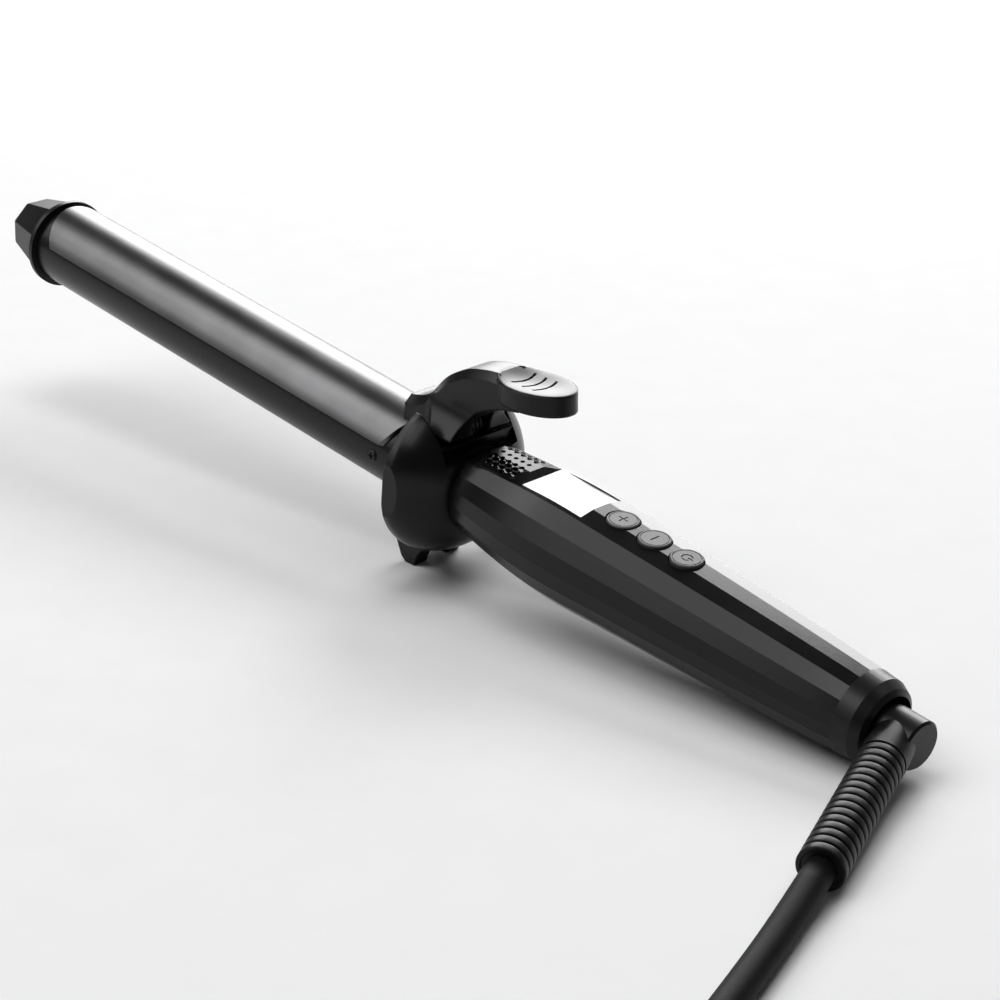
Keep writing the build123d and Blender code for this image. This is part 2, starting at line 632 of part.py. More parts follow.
with BuildPart() as guard:
    add(guard_form.part)
    with BuildSketch(station(GUARD_FRONT)):
        with Locations((0, GUARD_Z)):
            Circle(RECESS_OUT_R)
            Circle(RECESS_IN_R, mode=Mode.SUBTRACT)
        with Locations((0, RECESS_LOW_Z - GUARD_R)):
            Rectangle(GUARD_R * 3, GUARD_R * 2, mode=Mode.SUBTRACT)
    extrude(amount=RECESS_DEPTH, mode=Mode.SUBTRACT)
    with Locations(((GUARD_FRONT + NECK_X) / 2, 0, NOTCH_Z + GUARD_R)):
        Box(GUARD_R * 2, NOTCH_HALF_W * 2, GUARD_R * 2, mode=Mode.SUBTRACT)
    with Locations((POCKET_X + GUARD_R, 0, POCKET_Z + GUARD_R)):
        Box(GUARD_R * 2, NOTCH_HALF_W * 2, GUARD_R * 2, mode=Mode.SUBTRACT)
    for side in (-1, 1):
        with Locations(Location((PIVOT_X, side * (LUG_IN + LUG_OUT) / 2, PIVOT_Z), (90, 0, 0))):
            Cylinder(LUG_R, LUG_OUT - LUG_IN)
        with Locations((PIVOT_X, side * (LUG_IN + LUG_OUT) / 2, (NOTCH_Z - LUG_ROOT + PIVOT_Z) / 2)):
            Box(LUG_R * 2, LUG_OUT - LUG_IN, PIVOT_Z - NOTCH_Z + LUG_ROOT)
    revolve(bar(GUARD_FRONT - 1, GUARD_WEB, 0, BARREL_R + SLIP), axis=Axis.X, mode=Mode.SUBTRACT)
    revolve(bar(GUARD_WEB - 1, NECK_X + 1, 0, SOCKET_STUB_R + SEAT), axis=Axis.X, mode=Mode.SUBTRACT)
    with Locations(Location((PIVOT_X, 0, PIVOT_Z), (90, 0, 0))):
        Cylinder(PIN_R, LUG_OUT * 3, mode=Mode.SUBTRACT)

with BuildPart() as stand_feet:
    for side in (-1, 1):
        with BuildSketch(Plane.XZ.offset(-side * FOOT_Y)):
            with BuildLine():
                Polyline(*FOOT_SIDE, close=True)
            make_face()
        extrude(amount=FOOT_HALF_W, both=True)
    add(guard_form.part.moved(Location((-SEAT, 0, 0))), mode=Mode.SUBTRACT)

# handle shells
with BuildPart() as handle_body:
    for x, r in HANDLE_STATIONS:
        with BuildSketch(station(x)):
            with BuildLine():
                Polyline(*handle_points(r), close=True)
            make_face()
    loft()

with BuildPart() as handle_core:
    for x, r in HANDLE_STATIONS:
        with BuildSketch(station(x)):
            with BuildLine():
                Polyline(*handle_points(r - HANDLE_WALL), close=True)
            make_face()
    loft()
    with Locations((NECK_X, 0, 0)):
        Box(NECK_WALL * 2, GUARD_R * 2, GUARD_R * 2, mode=Mode.SUBTRACT)

SCREEN_X = (SCREEN_FRONT + SCREEN_REAR) / 2
SCREEN_L = SCREEN_REAR - SCREEN_FRONT
VENT_X = (VENT_FRONT + VENT_REAR) / 2

with BuildPart() as lower_wall:
    add(handle_body.part)
    add(handle_core.part, mode=Mode.SUBTRACT)
    with Locations(((NECK_X + HANDLE_END) / 2, 0, -GUARD_R)):
        Box(HANDLE_END - NECK_X, GUARD_R * 2, GUARD_R * 2, mode=Mode.INTERSECT)
    revolve(bar(NECK_X - 1, NECK_X + NECK_WALL + 1, 0, SOCKET_STUB_R + SEAT), axis=Axis.X, mode=Mode.SUBTRACT)

with BuildPart() as upper_wall:
    add(handle_body.part)
    add(handle_core.part, mode=Mode.SUBTRACT)
    with Locations(((NECK_X + HANDLE_END) / 2, 0, GUARD_R)):
        Box(HANDLE_END - NECK_X, GUARD_R * 2, GUARD_R * 2, mode=Mode.INTERSECT)
    revolve(bar(NECK_X - 1, NECK_X + NECK_WALL + 1, 0, SOCKET_STUB_R + SEAT), axis=Axis.X, mode=Mode.SUBTRACT)

with BuildPart() as handle_upper_shell:
    for x, y in SHELL_SCREWS:
        post = SHELL_POST_TOP if y else GUARD_R
        with Locations((x, y, post / 2)):
            Cylinder(SHELL_POST_R, post)
    add(handle_body.part, mode=Mode.INTERSECT)
    add(upper_wall.part)
    with Locations((VENT_X, 0, SCREEN_Z)):
        Box(VENT_REAR - VENT_FRONT, VENT_HALF_W * 2, SCREEN_Z, mode=Mode.SUBTRACT)
    with Locations((SCREEN_X, 0, SCREEN_Z)):
        Box(SCREEN_L, SCREEN_HALF_W * 2, SCREEN_Z, mode=Mode.SUBTRACT)
    for x in KEY_X:
        with Locations((x, 0, GUARD_R)):
            Cylinder(KEY_R + KEY_FREE, GUARD_R * 2, mode=Mode.SUBTRACT)
    with Locations([(x, y, SHELL_SCREW_TOP_Z / 2) for x, y in SHELL_SCREWS]):
        Cylinder(SHELL_SCREW_R, SHELL_SCREW_TOP_Z, mode=Mode.SUBTRACT)

with BuildPart() as handle_lower_shell:
    with Locations([(x, 0, (BOARD_Z - GUARD_R) / 2) for x in BOSS_X]):
        Cylinder(BOSS_R, BOARD_Z + GUARD_R)
    with Locations([(x, y, -GUARD_R / 2) for x, y in SHELL_SCREWS]):
        Cylinder(SHELL_POST_R, GUARD_R)
    add(handle_body.part, mode=Mode.INTERSECT)
    add(lower_wall.part)
    with Locations([(x, 0, BOARD_Z) for x in BOSS_X]):
        Cylinder(BOARD_SCREW_R, BOSS_R * 4, mode=Mode.SUBTRACT)
    with Locations([(x, y, 0) for x, y in SHELL_SCREWS]):
        Cylinder(SHELL_SCREW_R + SEAT, GUARD_R, mode=Mode.SUBTRACT)
    with Locations([(x, y, SHELL_SCREW_SEAT_Z - GUARD_R / 2) for x, y in SHELL_SCREWS]):
        Cylinder(SHELL_SCREW_HEAD_R + KEY_FREE, GUARD_R, mode=Mode.SUBTRACT)

with BuildPart() as shell_screws:
    for x, y in SHELL_SCREWS:
        with Locations((x, y, (SHELL_SCREW_SEAT_Z + SHELL_SCREW_TOP_Z) / 2)):
            Cylinder(SHELL_SCREW_R, SHELL_SCREW_TOP_Z - SHELL_SCREW_SEAT_Z)
        with Locations((x, y, SHELL_SCREW_SEAT_Z - SHELL_SCREW_HEAD_H / 2)):
            Cylinder(SHELL_SCREW_HEAD_R, SHELL_SCREW_HEAD_H)

# vent insert, display and buttons
with BuildPart() as vent_grille:
    for x, (eave, ridge) in ((VENT_FRONT + SEAT, VENT_FRONT_Z), (VENT_REAR - SEAT, VENT_REAR_Z)):
        edge = VENT_HALF_W - SEAT
        roof = (
            (-edge, eave - VENT_THICK), (-edge, eave), (-VENT_TOP_HALF_W, ridge), (VENT_TOP_HALF_W, ridge),
            (edge, eave), (edge, eave - VENT_THICK), (VENT_TOP_HALF_W, ridge - VENT_THICK),
            (-VENT_TOP_HALF_W, ridge - VENT_THICK),
        )
        with BuildSketch(station(x)):
            with BuildLine():
                Polyline(*roof, close=True)
            make_face()
    loft(ruled=True)
    ramp = ((VENT_REAR - VENT_RAMP_L, SCREEN_Z + VENT_RAMP_H), (VENT_REAR, SCREEN_Z), (VENT_REAR, GUARD_R),
            (VENT_REAR - VENT_RAMP_L, GUARD_R))
    extrude(outline(ramp, Plane.XZ), amount=GUARD_R, both=True, mode=Mode.SUBTRACT)
    with Locations((VENT_HOLES_X, 0, SCREEN_Z)):
        with GridLocations(VENT_PITCH, VENT_PITCH, VENT_COLUMNS, VENT_ROWS):
            Cylinder(VENT_HOLE_R, SCREEN_Z, mode=Mode.SUBTRACT)

with BuildPart() as display_window:
    with Locations((SCREEN_X, 0, SCREEN_Z - SCREEN_THICK / 2)):
        Box(SCREEN_L - SEAT * 2, SCREEN_HALF_W * 2 - SEAT * 2, SCREEN_THICK)

MODULE_TOP = SCREEN_Z - SCREEN_THICK
MODULE_LOW = MODULE_TOP - MODULE_THICK
with BuildPart() as display_module:
    with Locations((SCREEN_X, 0, MODULE_TOP - MODULE_THICK / 2)):
        Box(SCREEN_L - MODULE_LEG, MODULE_HALF_W * 2, MODULE_THICK)
    for side in (-1, 1):
        with Locations((SCREEN_X, side * (MODULE_HALF_W - MODULE_LEG / 2), (MODULE_LOW + BOARD_TOP) / 2)):
            Box(SCREEN_L - MODULE_LEG * 2, MODULE_LEG, MODULE_LOW - BOARD_TOP)

keys = []
for x, top in zip(KEY_X, KEY_TOP):
    with BuildPart() as key:
        skirt = top - KEY_SKIRT
        with Locations((x, 0, (top + skirt) / 2)):
            Cylinder(KEY_R, KEY_SKIRT)
        chamfer(key.edges().group_by(Axis.Z)[-1], KEY_BEVEL)
        with Locations((x, 0, skirt - KEY_BASE_H / 2)):
            Cylinder(KEY_BASE_R, KEY_BASE_H)
        stem_low = BOARD_TOP + SWITCH_H + KEY_TRAVEL + SLIP
        with Locations((x, 0, (skirt + stem_low) / 2)):
            Cylinder(KEY_STEM_R, skirt - stem_low)
        with BuildSketch(Plane((x, 0, top))):
            Circle(KEY_RING_R + KEY_RING_W / 2)
            Circle(KEY_RING_R - KEY_RING_W / 2, mode=Mode.SUBTRACT)
        extrude(amount=-KEY_RING_D, mode=Mode.SUBTRACT)
    keys.append(key)

with BuildPart() as plus_button:
    add(keys[0].part)
    with BuildSketch(Plane((KEY_X[0], 0, KEY_TOP[0]))):
        Rectangle(SIGN_L, SIGN_W)
        Rectangle(SIGN_W, SIGN_L)
    extrude(amount=-SIGN_D, mode=Mode.SUBTRACT)

with BuildPart() as minus_button:
    add(keys[1].part)
    with BuildSketch(Plane((KEY_X[1], 0, KEY_TOP[1]))):
        Rectangle(SIGN_W, SIGN_L)
    extrude(amount=-SIGN_D, mode=Mode.SUBTRACT)

with BuildPart() as power_button:
    add(keys[2].part)
    with BuildSketch(Plane((KEY_X[2], 0, KEY_TOP[2]))):
        Circle(SIGN_L / 2)
        Circle(SIGN_L / 2 - SIGN_W, mode=Mode.SUBTRACT)
        with Locations((SIGN_L / 2, 0)):
            Rectangle(SIGN_L / 2, SIGN_W * 3, mode=Mode.SUBTRACT)
        with Locations((SIGN_L / 2 - SIGN_W, 0)):
            Rectangle(SIGN_L / 2, SIGN_W)
    extrude(amount=-SIGN_D, mode=Mode.SUBTRACT)

# electronics
with BuildPart() as control_board:
    with Locations(((BOARD_FRONT + BOARD_REAR) / 2, 0, BOARD_Z + BOARD_THICK / 2)):
        Box(BOARD_REAR - BOARD_FRONT, BOARD_HALF_W * 2, BOARD_THICK)
    with Locations([(x, 0, BOARD_Z) for x in BOSS_X]):
        Cylinder(BOARD_SCREW_R + SEAT, BOARD_THICK * 4, mode=Mode.SUBTRACT)

with BuildPart() as board_screws:
    for x in BOSS_X:
        with Locations((x, 0, BOARD_TOP + BOARD_SCREW_HEAD_H / 2)):
            Cylinder(BOARD_SCREW_HEAD_R, BOARD_SCREW_HEAD_H)
        with Locations((x, 0, BOARD_TOP - BOSS_R / 2)):
            Cylinder(BOARD_SCREW_R, BOSS_R)

with BuildPart() as button_switches:
    for x in KEY_X:
        with Locations((x, 0, BOARD_TOP + SWITCH_BODY_H / 2)):
            Box(SWITCH_HALF * 2, SWITCH_HALF * 2, SWITCH_BODY_H)
        with Locations((x, 0, BOARD_TOP + SWITCH_H / 2)):
            Cylinder(KEY_STEM_R, SWITCH_H)

with BuildPart() as power_capacitor:
    with Locations((CAP_X, 0, BOARD_TOP + CAP_H / 2)):
        Cylinder(CAP_R, CAP_H)

with BuildPart() as power_triac:
    with Locations((TRIAC_X, 0, BOARD_Z - TRIAC_SIZE[2] / 2)):
        Box(*TRIAC_SIZE)

with BuildPart() as power_module:
    with Locations((POWER_X, 0, BOARD_Z - POWER_SIZE[2] / 2)):
        Box(*POWER_SIZE)

with BuildPart() as terminal_block:
    with Locations((TERMINAL_X, 0, BOARD_Z - TERMINAL_SIZE[2] / 2)):
        Box(*TERMINAL_SIZE)

with BuildPart() as heater_leads:
    for side in (-1, 1):
        middle = (SPREADER_REAR + LEAD_REAR) / 2
        with Locations(Location((middle, side * LEAD_Y, BOARD_Z - LEAD_R), (0, 90, 0))):
            Cylinder(LEAD_R, LEAD_REAR - SPREADER_REAR)

SUPPLY_FRONT = TERMINAL_X + TERMINAL_SIZE[0] / 2
with BuildPart() as supply_wires:
    for side in (-1, 1):
        with Locations(Location(((SUPPLY_FRONT + CARRIER_FRONT) / 2, side * SUPPLY_Y, SUPPLY_Z), (0, 90, 0))):
            Cylinder(LEAD_R, CARRIER_FRONT - SUPPLY_FRONT)

# cord swivel
with BuildPart() as contact_carrier:
    add(handle_core.part)
    with Locations(((CARRIER_FRONT + CARRIER_REAR) / 2, 0, 0)):
        Box(CARRIER_REAR - CARRIER_FRONT, CARRIER_HALF_W * 2, GUARD_R * 2, mode=Mode.INTERSECT)
    with Locations(((CARRIER_FRONT + CARRIER_REAR) / 2, 0, GUARD_R)):
        Box(CARRIER_REAR, CARRIER_HALF_W * 4, GUARD_R * 2, mode=Mode.SUBTRACT)
    with Locations(((CARRIER_FRONT + CARRIER_REAR) / 2, 0, CONTACT_BASE_Z + GUARD_R)):
        Box(CARRIER_REAR, CARRIER_SLOT_HALF_W * 2, GUARD_R * 2, mode=Mode.SUBTRACT)

with BuildPart() as contact_springs:
    for x in SLIP_RING_X:
        with Locations((x, 0, (CONTACT_BASE_Z - SLIP_RING_R - CONTACT_GAP) / 2)):
            Box(CONTACT_HALF * 2, CONTACT_HALF * 2, -CONTACT_BASE_Z - SLIP_RING_R - CONTACT_GAP)

with BuildPart() as slip_rings:
    for x in SLIP_RING_X:
        revolve(bar(x - SLIP_RING_W / 2, x + SLIP_RING_W / 2, SPINDLE_R, SLIP_RING_R), axis=Axis.X)

RETAINER_REAR = CAP_SPIGOT_FRONT - RETAINER_GAP
with BuildPart() as swivel_retainer:
    revolve(bar(RETAINER_REAR - RETAINER_W, RETAINER_REAR, SWIVEL_GROOVE_R, RETAINER_R), axis=Axis.X)

with BuildPart() as end_cap:
    cap = (
        (HANDLE_END, CAP_SPIGOT_R), (HANDLE_END, CAP_SEAM_R), (CAP_RIM_X, CAP_RIM_R), CAP_SHOULDER, CAP_MOUTH,
        (CAP_FLOOR, CAP_MOUTH[1]), (CAP_FLOOR, SWIVEL_R + RUN), (CAP_SPIGOT_FRONT, SWIVEL_R + RUN),
        (CAP_SPIGOT_FRONT, CAP_SPIGOT_R),
    )
    revolve(turned(cap), axis=Axis.X)
    with Locations(REST.inverse()):
        with Locations((CAP_RIM_X, 0, -GUARD_R)):
            Box(GUARD_R * 2, GUARD_R * 2, GUARD_R * 2, mode=Mode.SUBTRACT)


def boot_plane(along):
    """Plane across the boot at one distance from the swivel axis."""
    across = BOOT_DIR.cross(Vector(0, 0, 1)).normalized()
    return Plane(origin=Vector(SWIVEL_X, 0, 0) + BOOT_DIR * along, x_dir=across, z_dir=BOOT_DIR)


with BuildPart() as swivel_body:
    spin = (
        (SPINDLE_FRONT, 0), (SPINDLE_FRONT, SPINDLE_R), (SPINDLE_REAR, SPINDLE_R),
        (SPINDLE_REAR, SWIVEL_GROOVE_R),
        (RETAINER_REAR, SWIVEL_GROOVE_R), (RETAINER_REAR, SWIVEL_R), (SWIVEL_END - SWIVEL_BEVEL, SWIVEL_R),
        (SWIVEL_END, SWIVEL_R - SWIVEL_BEVEL), (SWIVEL_END, 0),
    )
    revolve(turned(spin), axis=Axis.X)
    with BuildSketch(boot_plane(0)):
        Circle(SWIVEL_NECK_R)
    extrude(amount=SWIVEL_NECK)

RIB = BOOT_LENGTH / BOOT_RIBS
with BuildPart() as cord_boot:
    for rib in range(BOOT_RIBS):
        for share, r in zip(RIB_SHARES, (BOOT_GROOVE_R, BOOT_GROOVE_R, BOOT_R, BOOT_R)):
            with BuildSketch(boot_plane(SWIVEL_NECK + (rib + share) * RIB)):
                Circle(r)
    with BuildSketch(boot_plane(SWIVEL_NECK + BOOT_LENGTH)):
        Circle(BOOT_GROOVE_R)
    loft(ruled=True)

# cord
BOOT_END = (REST * Location(boot_plane(SWIVEL_NECK + BOOT_LENGTH))).position
BOOT_TURN = (REST * Location(boot_plane(SWIVEL_NECK + BOOT_LENGTH + 1))).position - BOOT_END
cord_points = [BOOT_END, BOOT_END + BOOT_TURN * CORD_RUNS[0]]
for run, heading, height in zip(CORD_RUNS[1:], CORD_HEADINGS, CORD_HEIGHTS):
    last = cord_points[-1]
    aim = math.radians(heading)
    cord_points.append(Vector(last.X + run * math.cos(aim), last.Y + run * math.sin(aim), height))


def bend_radii(points):
    """Bend radius at each inner point that leaves a straight piece in both runs."""
    radii = []
    for a, b, c in zip(points, points[1:], points[2:]):
        turn = math.radians((b - a).get_angle(c - b))
        radii.append(BEND_SHARE * min((b - a).length, (c - b).length) / math.tan(turn / 2))
    return radii


def tube(points, gap):
    """Path of a laid cord through its route points, stopping short by the gap."""
    ends = list(points)
    ends[-1] = ends[-1] + (ends[-2] - ends[-1]).normalized() * gap
    return FilletPolyline(*ends, radius=bend_radii(ends))


with BuildPart() as cord_free:
    with BuildLine() as laid:
        tube(cord_points, CORD_END_GAP)
    with BuildSketch(Plane(origin=laid.line @ 0, z_dir=laid.line % 0)):
        Circle(CORD_R)
    sweep(path=laid.line)

COIL_START = math.radians(COIL_HEADING - 90)
COIL_IN_R = COIL_R - COIL_PITCH * COIL_TURNS_IN


def coil_offset(turn):
    """Place on the coil after a number of turns, measured from its middle on the floor."""
    climb = min(max((turn - COIL_TURNS_IN) / COIL_TURNS_CLIMB + 0.5, 0), 1)
    rise = climb - math.sin(2 * math.pi * climb) / (2 * math.pi)
    r = COIL_IN_R + COIL_PITCH * abs(turn - COIL_TURNS_IN)
    angle = COIL_START + 2 * math.pi * turn
    return Vector(r * math.cos(angle), r * math.sin(angle), COIL_Z + COIL_PITCH * rise)


def coil_heading(turn):
    """Direction of the coil after a number of turns."""
    reach = COIL_STEP / 10
    return (coil_offset(turn + reach) - coil_offset(turn - reach)).normalized()


COIL_LEAD = 2 * CORD_R
COIL_MIDDLE = cord_points[-1] + coil_heading(0) * COIL_LEAD - coil_offset(0)
COIL_MIDDLE = Vector(COIL_MIDDLE.X, COIL_MIDDLE.Y, 0)
COIL_COUNT = round(COIL_TURNS / COIL_STEP)
coil_turns = [COIL_TURNS * step / COIL_COUNT for step in range(COIL_COUNT + 1)]

with BuildPart() as cord_coil:
    with BuildLine() as wound:
        first = COIL_MIDDLE + coil_offset(0)
        Line(first - coil_heading(0) * COIL_LEAD, first)
        for near, far in zip(coil_turns, coil_turns[1:]):
            start = COIL_MIDDLE + coil_offset(near)
            stop = COIL_MIDDLE + coil_offset(far)
            middle = biarc_point(start, coil_heading(near), stop, coil_heading(far))
            inward = TangentArc(start, middle, tangent=coil_heading(near))
            TangentArc(middle, stop, tangent=inward % 1)
        last = COIL_MIDDLE + coil_offset(COIL_TURNS)
        Line(last, last + coil_heading(COIL_TURNS) * COIL_LEAD)
    with BuildSketch(Plane(origin=wound.line @ 0, z_dir=wound.line % 0)):
        Circle(CORD_R)
    sweep(path=wound.line)

COIL_EXIT = COIL_MIDDLE + coil_offset(COIL_TURNS) + coil_heading(COIL_TURNS) * COIL_LEAD
exit_aim = math.atan2(coil_heading(COIL_TURNS).Y, coil_heading(COIL_TURNS).X)
tail_points = [COIL_EXIT, COIL_EXIT + coil_heading(COIL_TURNS) * COIL_LEAD]
for run, swing, drop in TAIL_STEPS:
    last = tail_points[-1]
    aim = exit_aim + math.radians(swing)
    tail_points.append(Vector(last.X + run * math.cos(aim), last.Y + run * math.sin(aim), last.Z + drop))

with BuildPart() as cord_tail:
    with BuildLine() as trailing:
        tube(tail_points, 0)
    with BuildSketch(Plane(origin=trailing.line @ 0, z_dir=trailing.line % 0)):
        Circle(CORD_R)
    sweep(path=trailing.line)

TIE_AIM = COIL_START + 2 * math.pi * TIE_TURN
TIE_OUT = COIL_R - COIL_PITCH * TIE_TURN + CORD_R + TIE_SIDE_FREE
TIE_INNER = coil_offset(TIE_TURN + math.floor(COIL_TURNS_IN))
TIE_IN = math.hypot(TIE_INNER.X, TIE_INNER.Y) - CORD_R - TIE_SIDE_FREE
TIE_LOW = COIL_Z - CORD_R - TIE_FLOOR_FREE
TIE_HIGH = COIL_Z + COIL_PITCH + CORD_R + TIE_FLOOR_FREE
TIE_PLANE = Plane(
    origin=COIL_MIDDLE + Vector(math.cos(TIE_AIM), math.sin(TIE_AIM), 0) * ((TIE_IN + TIE_OUT) / 2)
    + Vector(0, 0, (TIE_LOW + TIE_HIGH) / 2),
    x_dir=(math.cos(TIE_AIM), math.sin(TIE_AIM), 0),
    z_dir=(math.sin(TIE_AIM), -math.cos(TIE_AIM), 0),
)
with BuildPart() as cord_tie:
    tie_w = TIE_OUT - TIE_IN
    tie_h = TIE_HIGH - TIE_LOW
    with BuildSketch(TIE_PLANE):
        RectangleRounded(tie_w + TIE_THICK * 2, tie_h + TIE_THICK * 2, TIE_ROUND + TIE_THICK)
        RectangleRounded(tie_w, tie_h, TIE_ROUND, mode=Mode.SUBTRACT)
    extrude(amount=TIE_W / 2, both=True)

PLUG_AIM = (tail_points[-1] - tail_points[-2]).normalized()
PLUG_FACE = Plane(origin=tail_points[-1], x_dir=Vector(0, 0, 1).cross(PLUG_AIM), z_dir=PLUG_AIM)
PLUG_FLAT = Plane(
    origin=tail_points[-1], x_dir=(PLUG_AIM.X, PLUG_AIM.Y, 0), z_dir=(0, 0, 1),
)
with BuildPart() as plug_body:
    with BuildSketch(PLUG_FLAT):
        with BuildLine():
            Polyline((0, -PLUG_HALF_NOSE), (PLUG_TAPER, -PLUG_HALF_W), (PLUG_L, -PLUG_HALF_W),
                     (PLUG_L, PLUG_HALF_W), (PLUG_TAPER, PLUG_HALF_W), (0, PLUG_HALF_NOSE), close=True)
        make_face()
    extrude(amount=PLUG_HALF_T, both=True)
    fillet(plug_body.edges(), PLUG_ROUND)
    for side in (-1, 1):
        with Locations(PLUG_FLAT.location):
            with Locations(Location((PLUG_L - PLUG_PIN_HOLD / 2, side * PLUG_PIN_HALF_GAP, 0), (0, 90, 0))):
                Cylinder(PLUG_ROOT_R, PLUG_PIN_HOLD, mode=Mode.SUBTRACT)

with BuildPart() as plug_pins:
    root_l = PLUG_PIN_HOLD + PLUG_ROOT_OUT
    root_x = PLUG_L - PLUG_PIN_HOLD + root_l / 2
    pin_x = PLUG_L + PLUG_ROOT_OUT + PLUG_PIN_L / 2
    for side in (-1, 1):
        with Locations(PLUG_FLAT.location):
            with Locations(Location((root_x, side * PLUG_PIN_HALF_GAP, 0), (0, 90, 0))):
                Cylinder(PLUG_ROOT_R, root_l)
            with Locations(Location((pin_x, side * PLUG_PIN_HALF_GAP, 0), (0, 90, 0))):
                Cylinder(PLUG_PIN_R, PLUG_PIN_L)

coil_path = wound.wires()[0]
samples = [coil_path @ (step / COIL_SAMPLES) for step in range(COIL_SAMPLES + 1)]
neighbours = math.ceil(6 * CORD_R * COIL_SAMPLES / coil_path.length)
least = min((a - b).length for i, a in enumerate(samples) for b in samples[i + neighbours:])
print("coil length", round(coil_path.length, 1), "least gap to itself", round(least - 2 * CORD_R, 2))
for stretch in (cord_points, tail_points):
    print("cord bends", [round(r, 1) for r in bend_radii(stretch)])
print("rest", round(REST_DEG, 3))

iron_pieces = (
    (tip_cap, "tip_cap"), (tip_ring, "tip_ring"), (barrel_tube, "barrel_tube"),
    (heater_plate, "heater_plate"), (heat_spreader_upper, "heat_spreader_upper"),
    (heat_spreader_lower, "heat_spreader_lower"),
    (thermistor, "thermistor"), (thermal_fuse, "thermal_fuse"), (heater_leads, "heater_leads"),
    (barrel_socket, "barrel_socket"), (barrel_screws, "barrel_screws"), (clip_spoon, "clip_spoon"),
    (clip_rivets, "clip_rivets"), (lever, "lever"), (thumb_pad, "thumb_pad"), (hinge_pin, "hinge_pin"),
    (lever_spring, "lever_spring"), (guard, "guard"), (stand_feet, "stand_feet"),
    (handle_upper_shell, "handle_upper_shell"), (handle_lower_shell, "handle_lower_shell"),
    (shell_screws, "shell_screws"), (vent_grille, "vent_grille"), (display_window, "display_window"),
    (display_module, "display_module"), (plus_button, "plus_button"), (minus_button, "minus_button"),
    (power_button, "power_button"), (control_board, "control_board"), (board_screws, "board_screws"),
    (button_switches, "button_switches"), (power_capacitor, "power_capacitor"), (power_triac, "power_triac"),
    (power_module, "power_module"), (terminal_block, "terminal_block"), (supply_wires, "supply_wires"),
    (contact_carrier, "contact_carrier"), (contact_springs, "contact_springs"), (slip_rings, "slip_rings"),
    (swivel_retainer, "swivel_retainer"), (end_cap, "end_cap"), (swivel_body, "swivel_body"),
    (cord_boot, "cord_boot"),
)
floor_pieces = (
    (cord_free, "cord_free"), (cord_coil, "cord_coil"), (cord_tail, "cord_tail"), (cord_tie, "cord_tie"),
    (plug_body, "plug_body"), (plug_pins, "plug_pins"),
)
# the frame's origin is the middle of the iron's own footprint, on the floor
boxes = [built.part.moved(REST).bounding_box() for built, name in iron_pieces if built is not cord_boot]
middle_x = (min(box.min.X for box in boxes) + max(box.max.X for box in boxes)) / 2
middle_y = (min(box.min.Y for box in boxes) + max(box.max.Y for box in boxes)) / 2
SHIFT = Location((-middle_x, -middle_y, 0))
print("shift", round(middle_x, 4), round(middle_y, 4))
for built, name in iron_pieces:
    hand_over(built, name, SHIFT * REST)
for built, name in floor_pieces:
    hand_over(built, name, SHIFT)
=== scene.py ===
"""Looks of a black curling iron with a sprung clip, lying on its two feet, built around the solids."""
from __future__ import annotations

import logging
import math
from dataclasses import dataclass, field
from enum import Enum

import bmesh
import bpy
from mathutils import Euler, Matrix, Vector

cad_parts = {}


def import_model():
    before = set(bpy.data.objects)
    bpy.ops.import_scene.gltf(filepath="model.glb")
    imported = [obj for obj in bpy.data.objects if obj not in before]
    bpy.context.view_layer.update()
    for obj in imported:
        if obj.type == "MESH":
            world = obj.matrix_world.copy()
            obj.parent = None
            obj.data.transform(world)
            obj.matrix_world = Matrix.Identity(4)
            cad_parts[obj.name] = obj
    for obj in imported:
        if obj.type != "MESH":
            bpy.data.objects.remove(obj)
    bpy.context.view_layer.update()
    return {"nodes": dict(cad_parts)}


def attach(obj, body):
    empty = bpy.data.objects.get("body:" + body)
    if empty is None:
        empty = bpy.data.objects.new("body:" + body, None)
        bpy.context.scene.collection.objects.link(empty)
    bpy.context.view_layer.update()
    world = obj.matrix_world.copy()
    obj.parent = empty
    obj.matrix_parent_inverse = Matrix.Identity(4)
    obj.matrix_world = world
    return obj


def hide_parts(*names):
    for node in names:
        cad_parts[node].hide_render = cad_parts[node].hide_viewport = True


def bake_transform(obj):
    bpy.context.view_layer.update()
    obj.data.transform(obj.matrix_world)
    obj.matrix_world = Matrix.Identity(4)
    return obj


LOG = logging.getLogger("curling_iron")
MM = 0.001
FULL_TURN = 2 * math.pi
Triple = tuple[float, float, float]


class Body(str, Enum):
    """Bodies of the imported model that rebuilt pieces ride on."""

    IRON = "iron"
    CLIP = "clip"
    SWIVEL = "swivel"


class Shows(Enum):
    """Surfaces that a lamp reaches."""

    MATT = "matt"
    GLOSS = "gloss"


@dataclass(frozen=True)
class RestFrame:
    """Turns places measured along the barrel, in millimetres, into the row frame in metres."""

    foot_x: float = 3.4
    foot_z: float = -29.8
    heel_x: float = 162.4
    heel_z: float = -10.85
    shift_x: float = 10.0504

    @property
    def tilt(self) -> float:
        """Angle between the barrel's axis and the floor, in radians."""
        return math.atan((self.heel_z - self.foot_z) / (self.heel_x - self.foot_x))

    def point(self, x: float, y: float, z: float) -> Vector:
        """Place of one point.

        Args:
            x: distance along the barrel axis.
            y: distance to the far side.
            z: distance towards the lever.

        Returns:
            The point in the row frame.
        """
        dx, dz = x - self.foot_x, z - self.foot_z
        across = dx * math.cos(self.tilt) + dz * math.sin(self.tilt) + self.shift_x
        return Vector((across, y, dz * math.cos(self.tilt) - dx * math.sin(self.tilt))) * MM


REST = RestFrame()


